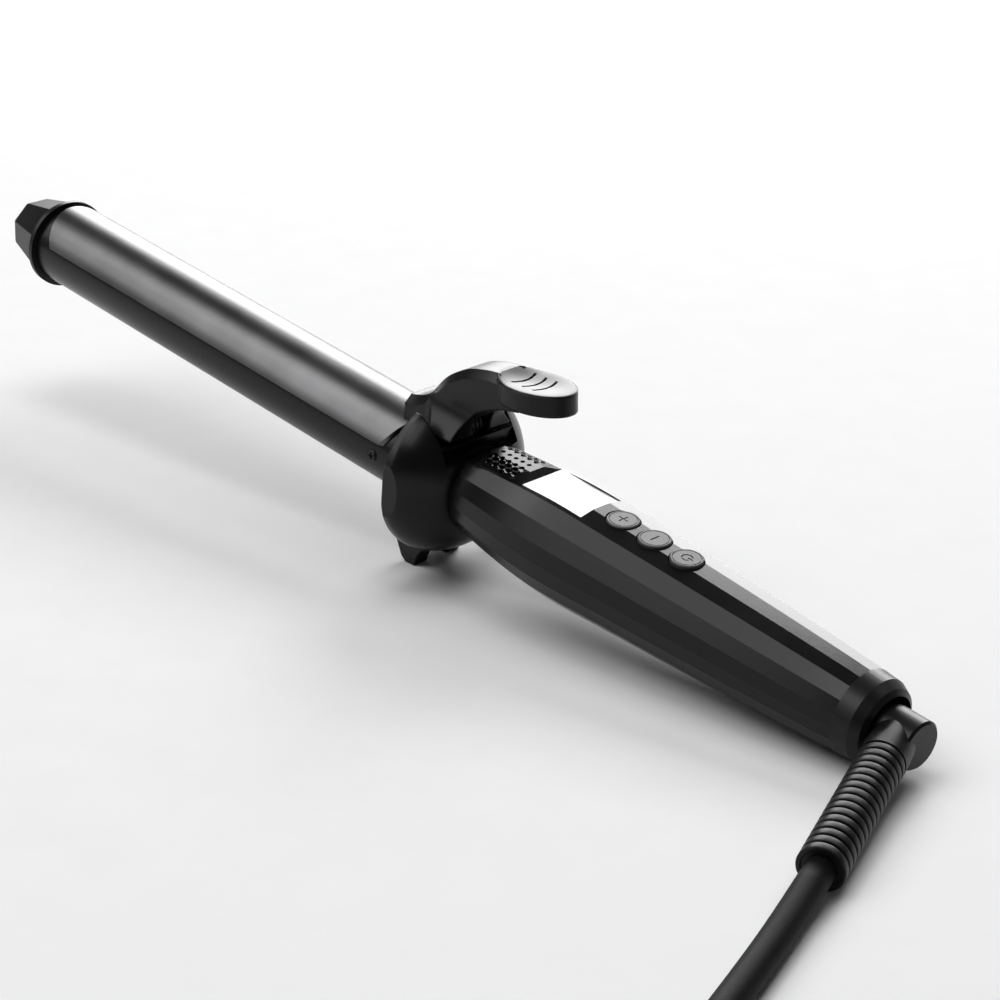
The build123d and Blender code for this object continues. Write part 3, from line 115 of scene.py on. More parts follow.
def feed(tree: bpy.types.NodeTree, node: bpy.types.Node, feeds: dict[str | int, object]) -> None:
    """Sets or links a node's inputs.

    Args:
        tree: the tree that holds the node.
        node: the node.
        feeds: by input name or number, a socket or several to link, or a value to set.
    """
    for key, given in feeds.items():
        if isinstance(key, int):
            socket = node.inputs[key]
        else:
            socket = next(i for i in node.inputs if i.name == key and i.enabled)
        sources = given if isinstance(given, tuple) else (given,)
        if not isinstance(sources[0], bpy.types.NodeSocket):
            socket.default_value = given
            continue
        for source in sources:
            tree.links.new(source, socket)


def add_node(tree: bpy.types.NodeTree, kind: str, feeds: dict[str | int, object],
             **settings: object) -> bpy.types.Node:
    """Adds a node to a shader or geometry tree.

    Args:
        tree: the tree.
        kind: the node's type.
        feeds: by input name or number, a socket or several to link, or a value to set.
        settings: the node's own options.

    Returns:
        The new node.
    """
    node = tree.nodes.new(kind)
    for option, choice in settings.items():
        setattr(node, option, choice)
    feed(tree, node, feeds)
    return node


@dataclass(frozen=True)
class Texture:
    """Settings of the mottling and grain that all finishes share."""

    cloud_scale: float = 60.0
    cloud_detail: float = 4.0
    cloud_stops: tuple[float, float] = (0.3, 0.7)
    grain_detail: float = 3.0
    grain_height: float = 0.0004
    bevel_samples: int = 6
    least_rough: float = 0.02


TEXTURE = Texture()


@dataclass(frozen=True)
class Finish:
    """One surface finish, made as a procedural material."""

    name: str
    colour: Triple
    roughness: float
    metallic: float = 0.0
    specular: float = 0.5
    grain_scale: float = 900.0
    grain_depth: float = 0.05
    mottle: float = 0.15
    rough_spread: float = 0.05
    edge: float = 0.0

    def material(self) -> bpy.types.Material:
        """Builds the material, or returns the one already built.

        Returns:
            A node material with fine grain, slight mottling and uneven gloss.
        """
        found = bpy.data.materials.get(self.name)
        if found:
            return found
        mat = bpy.data.materials.new(self.name)
        mat.use_nodes = True
        tree = mat.node_tree
        place = add_node(tree, "ShaderNodeTexCoord", {}).outputs["Object"]
        cloud = add_node(tree, "ShaderNodeTexNoise", {
            "Vector": place, "Scale": TEXTURE.cloud_scale, "Detail": TEXTURE.cloud_detail}).outputs["Fac"]
        tint = add_node(tree, "ShaderNodeValToRGB", {"Fac": cloud})
        shades = (1 - self.mottle, 1 + self.mottle)
        for stop, at, shade in zip(tint.color_ramp.elements, TEXTURE.cloud_stops, shades):
            stop.position = at
            stop.color = (*(min(1, c * shade) for c in self.colour), 1)
        gloss = add_node(tree, "ShaderNodeMapRange", {
            "Value": cloud,
            "To Min": max(TEXTURE.least_rough, self.roughness - self.rough_spread),
            "To Max": min(1.0, self.roughness + self.rough_spread)})
        grain = add_node(tree, "ShaderNodeTexNoise", {
            "Vector": place, "Scale": self.grain_scale, "Detail": TEXTURE.grain_detail}).outputs["Fac"]
        bump = add_node(tree, "ShaderNodeBump", {
            "Strength": self.grain_depth, "Distance": TEXTURE.grain_height, "Height": grain})
        if self.edge:
            soften = add_node(tree, "ShaderNodeBevel", {"Radius": self.edge * MM},
                              samples=TEXTURE.bevel_samples)
            feed(tree, bump, {"Normal": soften.outputs["Normal"]})
        feed(tree, tree.nodes["Principled BSDF"], {
            "Base Color": tint.outputs["Color"], "Metallic": self.metallic,
            "Roughness": gloss.outputs["Result"], "Specular IOR Level": self.specular,
            "Normal": bump.outputs["Normal"]})
        return mat


HANDLE_PLASTIC = Finish("handle_plastic", (0.005, 0.005, 0.0055), 0.19, specular=0.2,
                        grain_scale=1600, grain_depth=0.03)
CAP_PLASTIC = Finish("cap_plastic", (0.005, 0.005, 0.0055), 0.36, specular=0.24,
                     grain_scale=1600, grain_depth=0.03)
VENT_PLASTIC = Finish("vent_plastic", (0.005, 0.005, 0.0055), 0.24, specular=0.16,
                      grain_scale=1600, grain_depth=0.03)
GUARD_PLASTIC = Finish("guard_plastic", (0.004, 0.004, 0.0045), 0.26, specular=0.2,
                       grain_scale=1600, grain_depth=0.03, edge=0.5)
LEVER_PLASTIC = Finish("lever_plastic", (0.004, 0.004, 0.0045), 0.3, specular=0.2,
                       grain_scale=1500, grain_depth=0.03, edge=0.8)
PAD_PLASTIC = Finish("pad_plastic", (0.005, 0.005, 0.0055), 0.32, specular=0.2,
                     grain_scale=1500, grain_depth=0.03)
KEY_PLASTIC = Finish("key_plastic", (0.07, 0.07, 0.072), 0.42, specular=0.22,
                     grain_scale=1500, grain_depth=0.06)
BARREL_COAT = Finish("barrel_coat", (0.006, 0.006, 0.0065), 0.26, specular=0.18,
                     grain_scale=1200, grain_depth=0.04)
CLIP_COAT = Finish("clip_coat", (0.095, 0.095, 0.097), 0.32, metallic=1.0,
                   grain_scale=1200, grain_depth=0.04)
TIP_PLASTIC = Finish("tip_plastic", (0.008, 0.008, 0.0085), 0.34, specular=0.2, edge=0.3)
DISPLAY_WHITE = Finish("display_white", (0.86, 0.86, 0.87), 0.25, grain_depth=0.01, mottle=0.01)
CORD_RUBBER = Finish("cord_rubber_skin", (0.008, 0.008, 0.0085), 0.55, specular=0.08,
                     grain_scale=1400, grain_depth=0.12)
BOOT_RUBBER = Finish("boot_rubber_skin", (0.007, 0.007, 0.0075), 0.4, specular=0.2,
                     grain_scale=1400, grain_depth=0.1)
PALE_FLOOR = Finish("pale_floor", (0.9, 0.9, 0.905), 0.9, specular=0.1, grain_depth=0.0, mottle=0.01)
STEEL = Finish("plain_steel", (0.5, 0.5, 0.51), 0.32, metallic=1.0, grain_scale=700)
BLACK_STEEL = Finish("blackened_steel", (0.02, 0.02, 0.021), 0.4, metallic=0.6,
                     grain_scale=700, edge=0.15)
SCREW_BLACK = Finish("screw_black", (0.008, 0.008, 0.0085), 0.42, specular=0.22,
                     grain_scale=700, edge=0.1)
BRASS = Finish("plain_brass", (0.72, 0.52, 0.22), 0.3, metallic=1.0, grain_scale=700)
ALUMINIUM = Finish("bare_extrusion", (0.7, 0.7, 0.71), 0.38, metallic=1.0)
CERAMIC = Finish("fired_ceramic", (0.8, 0.78, 0.72), 0.6)
PHENOLIC = Finish("moulded_phenolic", (0.02, 0.018, 0.016), 0.55, specular=0.3)
BOARD_GREEN = Finish("board_laminate", (0.03, 0.2, 0.08), 0.4)
COMPONENT = Finish("component_case", (0.04, 0.04, 0.045), 0.5)
WIRE_RED = Finish("wire_sleeve", (0.5, 0.06, 0.05), 0.5)

NODE_FINISHES: dict[Finish, tuple[str, ...]] = {
    HANDLE_PLASTIC: ("handle_upper_shell", "handle_lower_shell", "cord_tie"),
    CAP_PLASTIC: ("end_cap", "swivel_body", "swivel_retainer"),
    VENT_PLASTIC: ("vent_grille",),
    GUARD_PLASTIC: ("guard", "stand_feet"),
    LEVER_PLASTIC: ("lever",),
    PAD_PLASTIC: ("thumb_pad",),
    KEY_PLASTIC: ("plus_button", "minus_button", "power_button"),
    BARREL_COAT: ("barrel_tube", "tip_ring"),
    CLIP_COAT: ("clip_spoon",),
    TIP_PLASTIC: ("tip_cap",),
    DISPLAY_WHITE: ("display_window",),
    CORD_RUBBER: ("plug_body",),
    BOOT_RUBBER: ("cord_boot",),
    BLACK_STEEL: ("barrel_screws", "lever_spring", "hinge_pin", "shell_screws"),
    STEEL: ("clip_rivets", "board_screws"),
    BRASS: ("contact_springs", "slip_rings", "plug_pins", "thermal_fuse"),
    ALUMINIUM: ("heat_spreader_upper", "heat_spreader_lower"),
    CERAMIC: ("heater_plate", "thermistor"),
    PHENOLIC: ("barrel_socket", "terminal_block", "contact_carrier"),
    BOARD_GREEN: ("control_board",),
    COMPONENT: ("display_module", "button_switches", "power_capacitor", "power_triac", "power_module"),
    WIRE_RED: ("heater_leads", "supply_wires"),
}


def dress_nodes(nodes: dict[str, bpy.types.Object]) -> None:
    """Gives every carried-over node its finish.

    Args:
        nodes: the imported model's nodes by name.
    """
    for finish, names in NODE_FINISHES.items():
        for name in names:
            slots = nodes[name].data.materials
            slots.clear()
            slots.append(finish.material())
            LOG.info("node %s dressed as %s", name, finish.name)


def mesh_object(name: str, bm: bmesh.types.BMesh, material: bpy.types.Material) -> bpy.types.Object:
    """Puts a mesh under construction into the scene.

    Args:
        name: the object's name.
        bm: the mesh, which is freed.
        material: its only material.

    Returns:
        The new object, at the origin.
    """
    mesh = bpy.data.meshes.new(name)
    bm.to_mesh(mesh)
    bm.free()
    mesh.materials.append(material)
    item = bpy.data.objects.new(name, mesh)
    bpy.context.scene.collection.objects.link(item)
    return item


def bridge(bm: bmesh.types.BMesh, near: list[bmesh.types.BMVert], far: list[bmesh.types.BMVert],
           smooth: bool = True) -> None:
    """Joins two rings of points by a band of faces.

    Args:
        bm: the mesh under construction.
        near: one ring.
        far: the other ring, with as many points.
        smooth: whether the band is shaded smooth.
    """
    for k in range(len(near)):
        n = (k + 1) % len(near)
        bm.faces.new((near[k], far[k], far[n], near[n])).smooth = smooth


@dataclass
class Cord:
    """The cord: free stretch from the boot, a wound coil, and the tail to the plug."""

    radius: float = 3.7
    swivel_x: float = 169.0
    boot_reach: float = 58.5
    boot_aim: Triple = (0.3906, -0.9203, -0.0222)
    runs: tuple[float, ...] = (20.0, 22.0, 22.0, 20.0)
    headings: tuple[float, ...] = (-68.5, -70.3, -71.6)
    heights: tuple[float, ...] = (3.9, 4.2, 4.9)
    nudges: tuple[tuple[float, float], ...] = ((0.0, 0.0), (-0.4, -0.5), (-0.9, -1.2), (-0.9, -1.2))
    coil_heading: float = -73.5
    coil_r: float = 54.5
    coil_pitch: float = 7.95
    coil_z: float = 4.9
    turns_in: float = 3.55
    turns_climb: float = 0.5
    turns: float = 6.51
    points_per_turn: int = 16
    aim_step: float = 0.025
    tail: tuple[Triple, ...] = ((12.0, 1.0, -0.6), (16.0, 2.0, -3.4), (14.0, 3.0, -1.6), (10.0, 4.0, 0.0))
    sides: int = 20
    length: float = 1.78
    route: list[Vector] = field(default_factory=list)
    centre: Vector = field(default_factory=Vector)

    def coil_offset(self, turn: float) -> Vector:
        """Place on the coil.

        Args:
            turn: number of turns from the coil's start.

        Returns:
            The place from the coil's middle on the floor, in millimetres.
        """
        climb = min(max((turn - self.turns_in) / self.turns_climb + 0.5, 0.0), 1.0)
        rise = climb - math.sin(FULL_TURN * climb) / FULL_TURN
        inner = self.coil_r - self.coil_pitch * self.turns_in
        r = inner + self.coil_pitch * abs(turn - self.turns_in)
        angle = math.radians(self.coil_heading - 90) + FULL_TURN * turn
        return Vector((r * math.cos(angle), r * math.sin(angle), self.coil_z + self.coil_pitch * rise))

    def coil_aim(self, turn: float) -> Vector:
        """Direction of the coil after a number of turns."""
        ahead = self.coil_offset(turn + self.aim_step) - self.coil_offset(turn - self.aim_step)
        return ahead.normalized()

    def lay(self) -> None:
        """Lays the route's control points, in the row frame, from the boot to the plug."""
        aim = Vector(self.boot_aim).normalized()
        start = Vector((self.swivel_x, 0, 0)) + aim * self.boot_reach
        first = REST.point(*start) / MM
        ahead = (REST.point(*(start + aim)) / MM - first).normalized()
        points = [first, first + ahead * self.runs[0]]
        for run, heading, height in zip(self.runs[1:], self.headings, self.heights):
            turn = math.radians(heading)
            last = points[-1]
            points.append(Vector((last.x + run * math.cos(turn), last.y + run * math.sin(turn), height)))
        lead = self.coil_aim(0) * 2 * self.radius
        middle = points[-1] + lead - self.coil_offset(0)
        middle.z = 0
        self.centre = middle * MM
        count = round(self.turns * self.points_per_turn)
        points += [middle + self.coil_offset(self.turns * step / count) for step in range(count + 1)]
        for point, (dx, dy) in zip(points, self.nudges):
            point += Vector((dx, dy, 0))
        leave = self.coil_aim(self.turns)
        points += [points[-1] + leave * 2 * self.radius, points[-1] + leave * 4 * self.radius]
        swing = math.atan2(leave.y, leave.x)
        for run, turn, drop in self.tail:
            last = points[-1]
            heading = swing + math.radians(turn)
            points.append(last + Vector((run * math.cos(heading), run * math.sin(heading), drop)))
        self.route = [p * MM for p in points]

    def line(self) -> list[Vector]:
        """Reads the smooth line of the route's spline.

        Returns:
            Points along the spline, in metres.
        """
        curve = bpy.data.curves.new("cord_route", "CURVE")
        curve.dimensions = "3D"
        spline = curve.splines.new("NURBS")
        spline.points.add(len(self.route) - 1)
        for point, place in zip(spline.points, self.route):
            point.co = (*place, 1.0)
        spline.order_u = 3
        spline.use_endpoint_u = True
        spline.resolution_u = 5
        holder = bpy.data.objects.new("cord_route", curve)
        bpy.context.scene.collection.objects.link(holder)
        bpy.context.view_layer.update()
        depsgraph = bpy.context.evaluated_depsgraph_get()
        mesh = bpy.data.meshes.new_from_object(holder.evaluated_get(depsgraph))
        line = [v.co.copy() for v in mesh.vertices]
        bpy.data.objects.remove(holder)
        bpy.data.meshes.remove(mesh)
        return line

    def skin(self, line: list[Vector]) -> bpy.types.Object:
        """Builds the round sleeve along a line.

        Args:
            line: the points that it follows.

        Returns:
            The cord's mesh object.
        """
        bm = bmesh.new()
        rings = []
        side = Vector((0, 0, 1))
        for i, place in enumerate(line):
            ahead = (line[min(i + 1, len(line) - 1)] - line[max(i - 1, 0)]).normalized()
            across = ahead.cross(side).normalized()
            over = across.cross(ahead)
            ring = []
            for k in range(self.sides):
                angle = FULL_TURN * k / self.sides
                out = across * math.cos(angle) + over * math.sin(angle)
                ring.append(bm.verts.new(place + out * self.radius * MM))
            rings.append(ring)
        for near, far in zip(rings, rings[1:]):
            bridge(bm, near, far)
        bm.faces.new(rings[0])
        bm.faces.new(list(reversed(rings[-1])))
        bmesh.ops.recalc_face_normals(bm, faces=bm.faces)
        return mesh_object("mains_cord", bm, CORD_RUBBER.material())

    def build(self) -> bpy.types.Object:
        """Builds the cord's sleeve along its route, in place of the imported cord nodes, which are
        hidden.

        Returns:
            The cord's mesh object.
        """
        self.lay()
        line = self.line()
        cord = self.skin(line)
        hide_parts("cord_free", "cord_coil", "cord_tail")
        start = line[0]
        toward = self.centre - start
        toward.z = 0
        toward.normalize()
        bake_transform(cord)
        return cord


class NodeTree:
    """A geometry node tree put together link by link."""

    def __init__(self, name: str) -> None:
        """Starts an empty tree with one geometry output.

        Args:
            name: the tree's name.
        """
        self.tree = bpy.data.node_groups.new(name, "GeometryNodeTree")
        self.tree.interface.new_socket("Geometry", in_out="OUTPUT", socket_type="NodeSocketGeometry")
        self.entry = self.tree.nodes.new("NodeGroupInput")
        self.exit = self.tree.nodes.new("NodeGroupOutput")
        self.values: dict[str, object] = {}

    def body(self) -> bpy.types.NodeSocket:
        """Adds the input that carries the mesh to work on."""
        self.tree.interface.new_socket("Body", in_out="INPUT", socket_type="NodeSocketGeometry")
        return self.entry.outputs["Body"]

    def size(self, name: str, kind: str, value: object) -> bpy.types.NodeSocket:
        """Adds a named input.

        Args:
            name: the input's name.
            kind: its type: Float, Int or Vector.
            value: the value that a modifier gives it.

        Returns:
            The socket that carries the value inside the tree.
        """
        socket = self.tree.interface.new_socket(name, in_out="INPUT", socket_type="NodeSocket" + kind)
        self.values[socket.identifier] = value
        return self.entry.outputs[name]

    def add(self, kind: str, feeds: dict[str | int, object], **settings: object) -> bpy.types.Node:
        """Adds a node of the tree's own kinds, as add_node does."""
        return add_node(self.tree, "GeometryNode" + kind, feeds, **settings)

    def turn_to(self, aim: bpy.types.NodeSocket) -> bpy.types.NodeSocket:
        """Rotation that turns the z axis to a direction."""
        node = add_node(self.tree, "FunctionNodeAlignRotationToVector", {"Vector": aim}, axis="Z")
        return node.outputs["Rotation"]

    def grow(self, name: str, last: bpy.types.NodeSocket, finish: Finish,
             start: bpy.types.Mesh | None = None) -> bpy.types.Object:
        """Closes and runs the tree, and keeps its result as a plain mesh object.

        Args:
            name: the object's name.
            last: the socket with the finished shape.
            finish: the shape's finish.
            start: the mesh to work on, if the tree takes one.

        Returns:
            An object at the origin with no modifier.
        """
        solid = self.add("RealizeInstances", {"Geometry": last})
        dressed = self.add("SetMaterial", {"Geometry": solid.outputs["Geometry"],
                                           "Material": finish.material()})
        self.tree.links.new(dressed.outputs["Geometry"], self.exit.inputs["Geometry"])
        seed = bpy.data.objects.new(name, start or bpy.data.meshes.new(name))
        bpy.context.scene.collection.objects.link(seed)
        runner = seed.modifiers.new(name, "NODES")
        runner.node_group = self.tree
        for identifier, value in self.values.items():
            runner[identifier] = value
        bpy.context.view_layer.update()
        depsgraph = bpy.context.evaluated_depsgraph_get()
        mesh = bpy.data.meshes.new_from_object(seed.evaluated_get(depsgraph))
        seed.modifiers.remove(runner)
        seed.data = mesh
        return seed


@dataclass
class RibbedBoot:
    """The strain relief: a soft sleeve that is plain at its start and grooved into flat ribs."""

    cord: Cord
    core_r: float = 5.2
    rib_r: float = 5.85
    ribs: int = 16
    neck: float = 8.6
    collar: float = 4.3
    end_gap: float = 0.2
    rib_share: float = 0.76
    rounding: float = 0.3
    rounding_steps: int = 4
    facets: int = 72

    def along(self, reach: float) -> Triple:
        """Place on the boot's axis at a distance from the swivel, in metres."""
        aim = Vector(self.cord.boot_aim).normalized()
        return tuple(REST.point(*(Vector((self.cord.swivel_x, 0, 0)) + aim * reach)))

    def tube(self, tree: NodeTree, near: bpy.types.NodeSocket, far: bpy.types.NodeSocket,
             radius: bpy.types.NodeSocket) -> bpy.types.NodeSocket:
        """Adds the nodes of a closed tube.

        Args:
            tree: the boot's tree.
            near: the tube's start.
            far: its end.
            radius: its radius.

        Returns:
            The socket with the tube's mesh.
        """
        run = tree.add("CurvePrimitiveLine", {"Start": near, "End": far}, mode="POINTS")
        ring = tree.add("CurvePrimitiveCircle", {"Resolution": self.facets, "Radius": radius})
        tube = tree.add("CurveToMesh", {"Curve": run.outputs["Curve"],
                                        "Profile Curve": ring.outputs["Curve"], "Fill Caps": True})
        return tube.outputs["Mesh"]

    def stack(self, tree: NodeTree, first: float, last: float, broad: float) -> bpy.types.NodeSocket:
        """Adds the nodes of the row of ribs.

        Args:
            tree: the boot's tree.
            first: the first rib's middle, along the boot.
            last: the last rib's middle.
            broad: one rib's width.

        Returns:
            The socket with all ribs as instances.
        """
        tall = (self.rib_r - self.core_r) * 2 * MM
        first_at = tree.size("First Rib", "Vector", self.along(first))
        last_at = tree.size("Last Rib", "Vector", self.along(last))
        count = tree.size("Ribs", "Int", self.ribs)
        middle = tree.size("Rib Middle", "Float", self.rib_r * MM - tall / 2)
        height = tree.size("Rib Height", "Float", tall)
        width = tree.size("Rib Width", "Float", broad * MM)
        rounding = tree.size("Rounding", "Float", self.rounding * MM)
        path = tree.add("CurvePrimitiveCircle", {"Resolution": self.facets, "Radius": middle})
        section = tree.add("CurvePrimitiveQuadrilateral", {"Width": height, "Height": width})
        eased = tree.add("FilletCurve", {"Curve": section.outputs["Curve"], "Count": self.rounding_steps,
                                         "Radius": rounding, "Limit Radius": True}, mode="POLY")
        rib = tree.add("CurveToMesh", {"Curve": path.outputs["Curve"],
                                       "Profile Curve": eased.outputs["Curve"]})
        axis = tree.add("CurvePrimitiveLine", {"Start": first_at, "End": last_at}, mode="POINTS")
        places = tree.add("CurveToPoints", {"Curve": axis.outputs["Curve"], "Count": count}, mode="COUNT")
        row = tree.add("InstanceOnPoints", {
            "Points": places.outputs["Points"], "Instance": rib.outputs["Mesh"],
            "Rotation": tree.turn_to(places.outputs["Tangent"])})
        return row.outputs["Instances"]

    def build(self) -> bpy.types.Object:
        """Returns:
            The boot's mesh object, riding on the swivel.
        """
        end = self.cord.boot_reach - self.end_gap
        groove = self.neck + self.collar
        pitch = (end - groove) / (self.ribs - 1 + self.rib_share)
        width = pitch * self.rib_share
        tree = NodeTree("rib_stack")
        start_at = tree.size("Start", "Vector", self.along(self.neck))
        collar_at = tree.size("Collar", "Vector", self.along(groove))
        end_at = tree.size("End", "Vector", self.along(end - self.end_gap))
        core = tree.size("Core Radius", "Float", self.core_r * MM)
        outer = tree.size("Rib Radius", "Float", self.rib_r * MM)
        joined = tree.add("JoinGeometry", {"Geometry": (
            self.stack(tree, groove + pitch - width / 2, end - width / 2, width),
            self.tube(tree, start_at, end_at, core),
            self.tube(tree, start_at, collar_at, outer))})
        boot = tree.grow("ribbed_boot", joined.outputs["Geometry"], BOOT_RUBBER)
        bm = bmesh.new()
        bm.from_mesh(boot.data)
        bmesh.ops.recalc_face_normals(bm, faces=bm.faces)
        for face in bm.faces:
            face.smooth = len(face.verts) == 4
        bm.to_mesh(boot.data)
        bm.free()
        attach(boot, Body.SWIVEL.value)
        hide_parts("cord_boot")
        return boot


@dataclass
class BarrelScrews:
    """The two flat-headed screws that hold the barrel on its socket."""

    along: float = -10.2
    barrel_r: float = 12.5
    head_r: float = 1.85
    rim_r: float = 1.5
    head_h: float = 0.5
    shank_r: float = 1.2
    shank: float = 5.0
    cross: Triple = (2.1, 0.5, 0.6)
    facets: int = 40

    def screw(self, tree: NodeTree) -> bpy.types.NodeSocket:
        """Adds the nodes of one screw.

        Args:
            tree: the screws' tree.

        Returns:
            The socket with a screw that stands on the origin.
        """
        foot = tree.size("Head Radius", "Float", self.head_r * MM)
        rim = tree.size("Rim Radius", "Float", self.rim_r * MM)
        tall = tree.size("Head Height", "Float", self.head_h * MM)
        thin = tree.size("Shank Radius", "Float", self.shank_r * MM)
        reach = tree.size("Shank Length", "Float", self.shank * MM)
        head = tree.add("MeshCone", {"Vertices": self.facets, "Radius Top": rim,
                                     "Radius Bottom": foot, "Depth": tall})
        long, wide, deep = (v * MM for v in self.cross)
        cutters = []
        for size in ((long, wide, 2 * deep), (wide, long, 2 * deep)):
            bar = tree.add("MeshCube", {"Size": size})
            raised = tree.add("Transform", {"Geometry": bar.outputs["Mesh"],
                                            "Translation": (0, 0, self.head_h * MM)})
            cutters.append(raised.outputs["Geometry"])
        cut = tree.add("MeshBoolean", {"Mesh 1": head.outputs["Mesh"], "Mesh 2": tuple(cutters)},
                       operation="DIFFERENCE")
        pin = tree.add("MeshCylinder", {"Vertices": self.facets, "Radius": thin, "Depth": reach})
        sunk = tree.add("Transform", {"Geometry": pin.outputs["Mesh"],
                                      "Translation": (0, 0, -self.shank * MM / 2)})
        whole = tree.add("JoinGeometry", {"Geometry": (cut.outputs["Mesh"], sunk.outputs["Geometry"])})
        return whole.outputs["Geometry"]

    def build(self) -> bpy.types.Object:
        """Returns:
            One mesh object with the two screws.
        """
        near = REST.point(self.along, -self.barrel_r, 0)
        far = REST.point(self.along, self.barrel_r, 0)
        tree = NodeTree("screw_pair")
        start_at = tree.size("Near Screw", "Vector", tuple(near))
        step = tree.size("Step", "Vector", tuple(far - near))
        pair = tree.add("MeshLine", {"Count": 2, "Start Location": start_at, "Offset": step})
        spot = tree.add("InputPosition", {})
        outward = add_node(tree.tree, "ShaderNodeVectorMath",
                           {0: spot.outputs["Position"], 1: (0, 1, 0)}, operation="MULTIPLY")
        both = tree.add("InstanceOnPoints", {
            "Points": pair.outputs["Mesh"], "Instance": self.screw(tree),
            "Rotation": tree.turn_to(outward.outputs["Vector"])})
        screws = tree.grow("barrel_screw_pair", both.outputs["Instances"], SCREW_BLACK)
        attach(screws, Body.IRON.value)
        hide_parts("barrel_screws")
        return screws


@dataclass
class VentHood:
    """The perforated hood, with finer holes on its sides between those of the solid."""

    middle: Triple = (34.0, 0.0, 13.5)
    pitch: float = 2.55
    columns: int = 6
    rows: int = 6
    plain_half: float = 2.6
    hole_r: float = 0.6
    reach: float = 12.0
    facets: int = 16
    weld: float = 0.001

    def shell(self, solid: bpy.types.Object) -> bpy.types.Mesh:
        """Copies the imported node's mesh and closes its seams.

        Args:
            solid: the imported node.

        Returns:
            The copy, in the row frame.
        """
        copy = solid.data.copy()
        copy.transform(solid.matrix_world)
        bm = bmesh.new()
        bm.from_mesh(copy)
        bmesh.ops.remove_doubles(bm, verts=bm.verts, dist=self.weld * MM)
        bm.to_mesh(copy)
        bm.free()
        return copy

    def drills(self, tree: NodeTree) -> bpy.types.NodeSocket:
        """Adds the nodes of the pins that cut the holes.

        Args:
            tree: the hood's tree.

        Returns:
            The socket with all pins in place.
        """
        long = tree.size("Length", "Float", self.pitch * (self.columns - 1) * MM)
        wide = tree.size("Width", "Float", self.pitch * (self.rows - 1) * MM)
        columns = tree.size("Columns", "Int", self.columns)
        rows = tree.size("Rows", "Int", self.rows)
        radius = tree.size("Hole Radius", "Float", self.hole_r * MM)
        plain = tree.size("Plain Half", "Float", self.plain_half * MM)
        middle = tree.size("Middle", "Vector", tuple(REST.point(*self.middle)))
        spot = tree.add("InputPosition", {})
        parts = add_node(tree.tree, "ShaderNodeSeparateXYZ", {"Vector": spot.outputs["Position"]})
        aside = add_node(tree.tree, "ShaderNodeMath", {0: parts.outputs["Y"]}, operation="ABSOLUTE")
        outer = add_node(tree.tree, "FunctionNodeCompare", {"A": aside.outputs["Value"], "B": plain},
                         operation="GREATER_THAN")
        grid = tree.add("MeshGrid", {"Size X": long, "Size Y": wide,
                                     "Vertices X": columns, "Vertices Y": rows})
        pin = tree.add("MeshCylinder", {"Vertices": self.facets, "Radius": radius,
                                        "Depth": self.reach * MM})
        pins = tree.add("InstanceOnPoints", {
            "Points": grid.outputs["Mesh"], "Instance": pin.outputs["Mesh"],
            "Selection": outer.outputs["Result"]})
        loose = tree.add("RealizeInstances", {"Geometry": pins.outputs["Instances"]})
        turned = tree.add("Transform", {"Geometry": loose.outputs["Geometry"], "Translation": middle,
                                        "Rotation": (0.0, REST.tilt, 0.0)})
        return turned.outputs["Geometry"]

    def build(self, solid: bpy.types.Object) -> bpy.types.Object:
        """Args:
            solid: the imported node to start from.

        Returns:
            The hood's mesh object.
        """
        tree = NodeTree("fine_holes")
        hood = tree.body()
        cut = tree.add("MeshBoolean", {"Mesh 1": hood, "Mesh 2": self.drills(tree)},
                       operation="DIFFERENCE")
        vent = tree.grow("vent_hood", cut.outputs["Mesh"], VENT_PLASTIC, self.shell(solid))
        vent.data.materials.clear()
        vent.data.materials.append(VENT_PLASTIC.material())
        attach(vent, Body.IRON.value)
        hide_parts("vent_grille")
        return vent


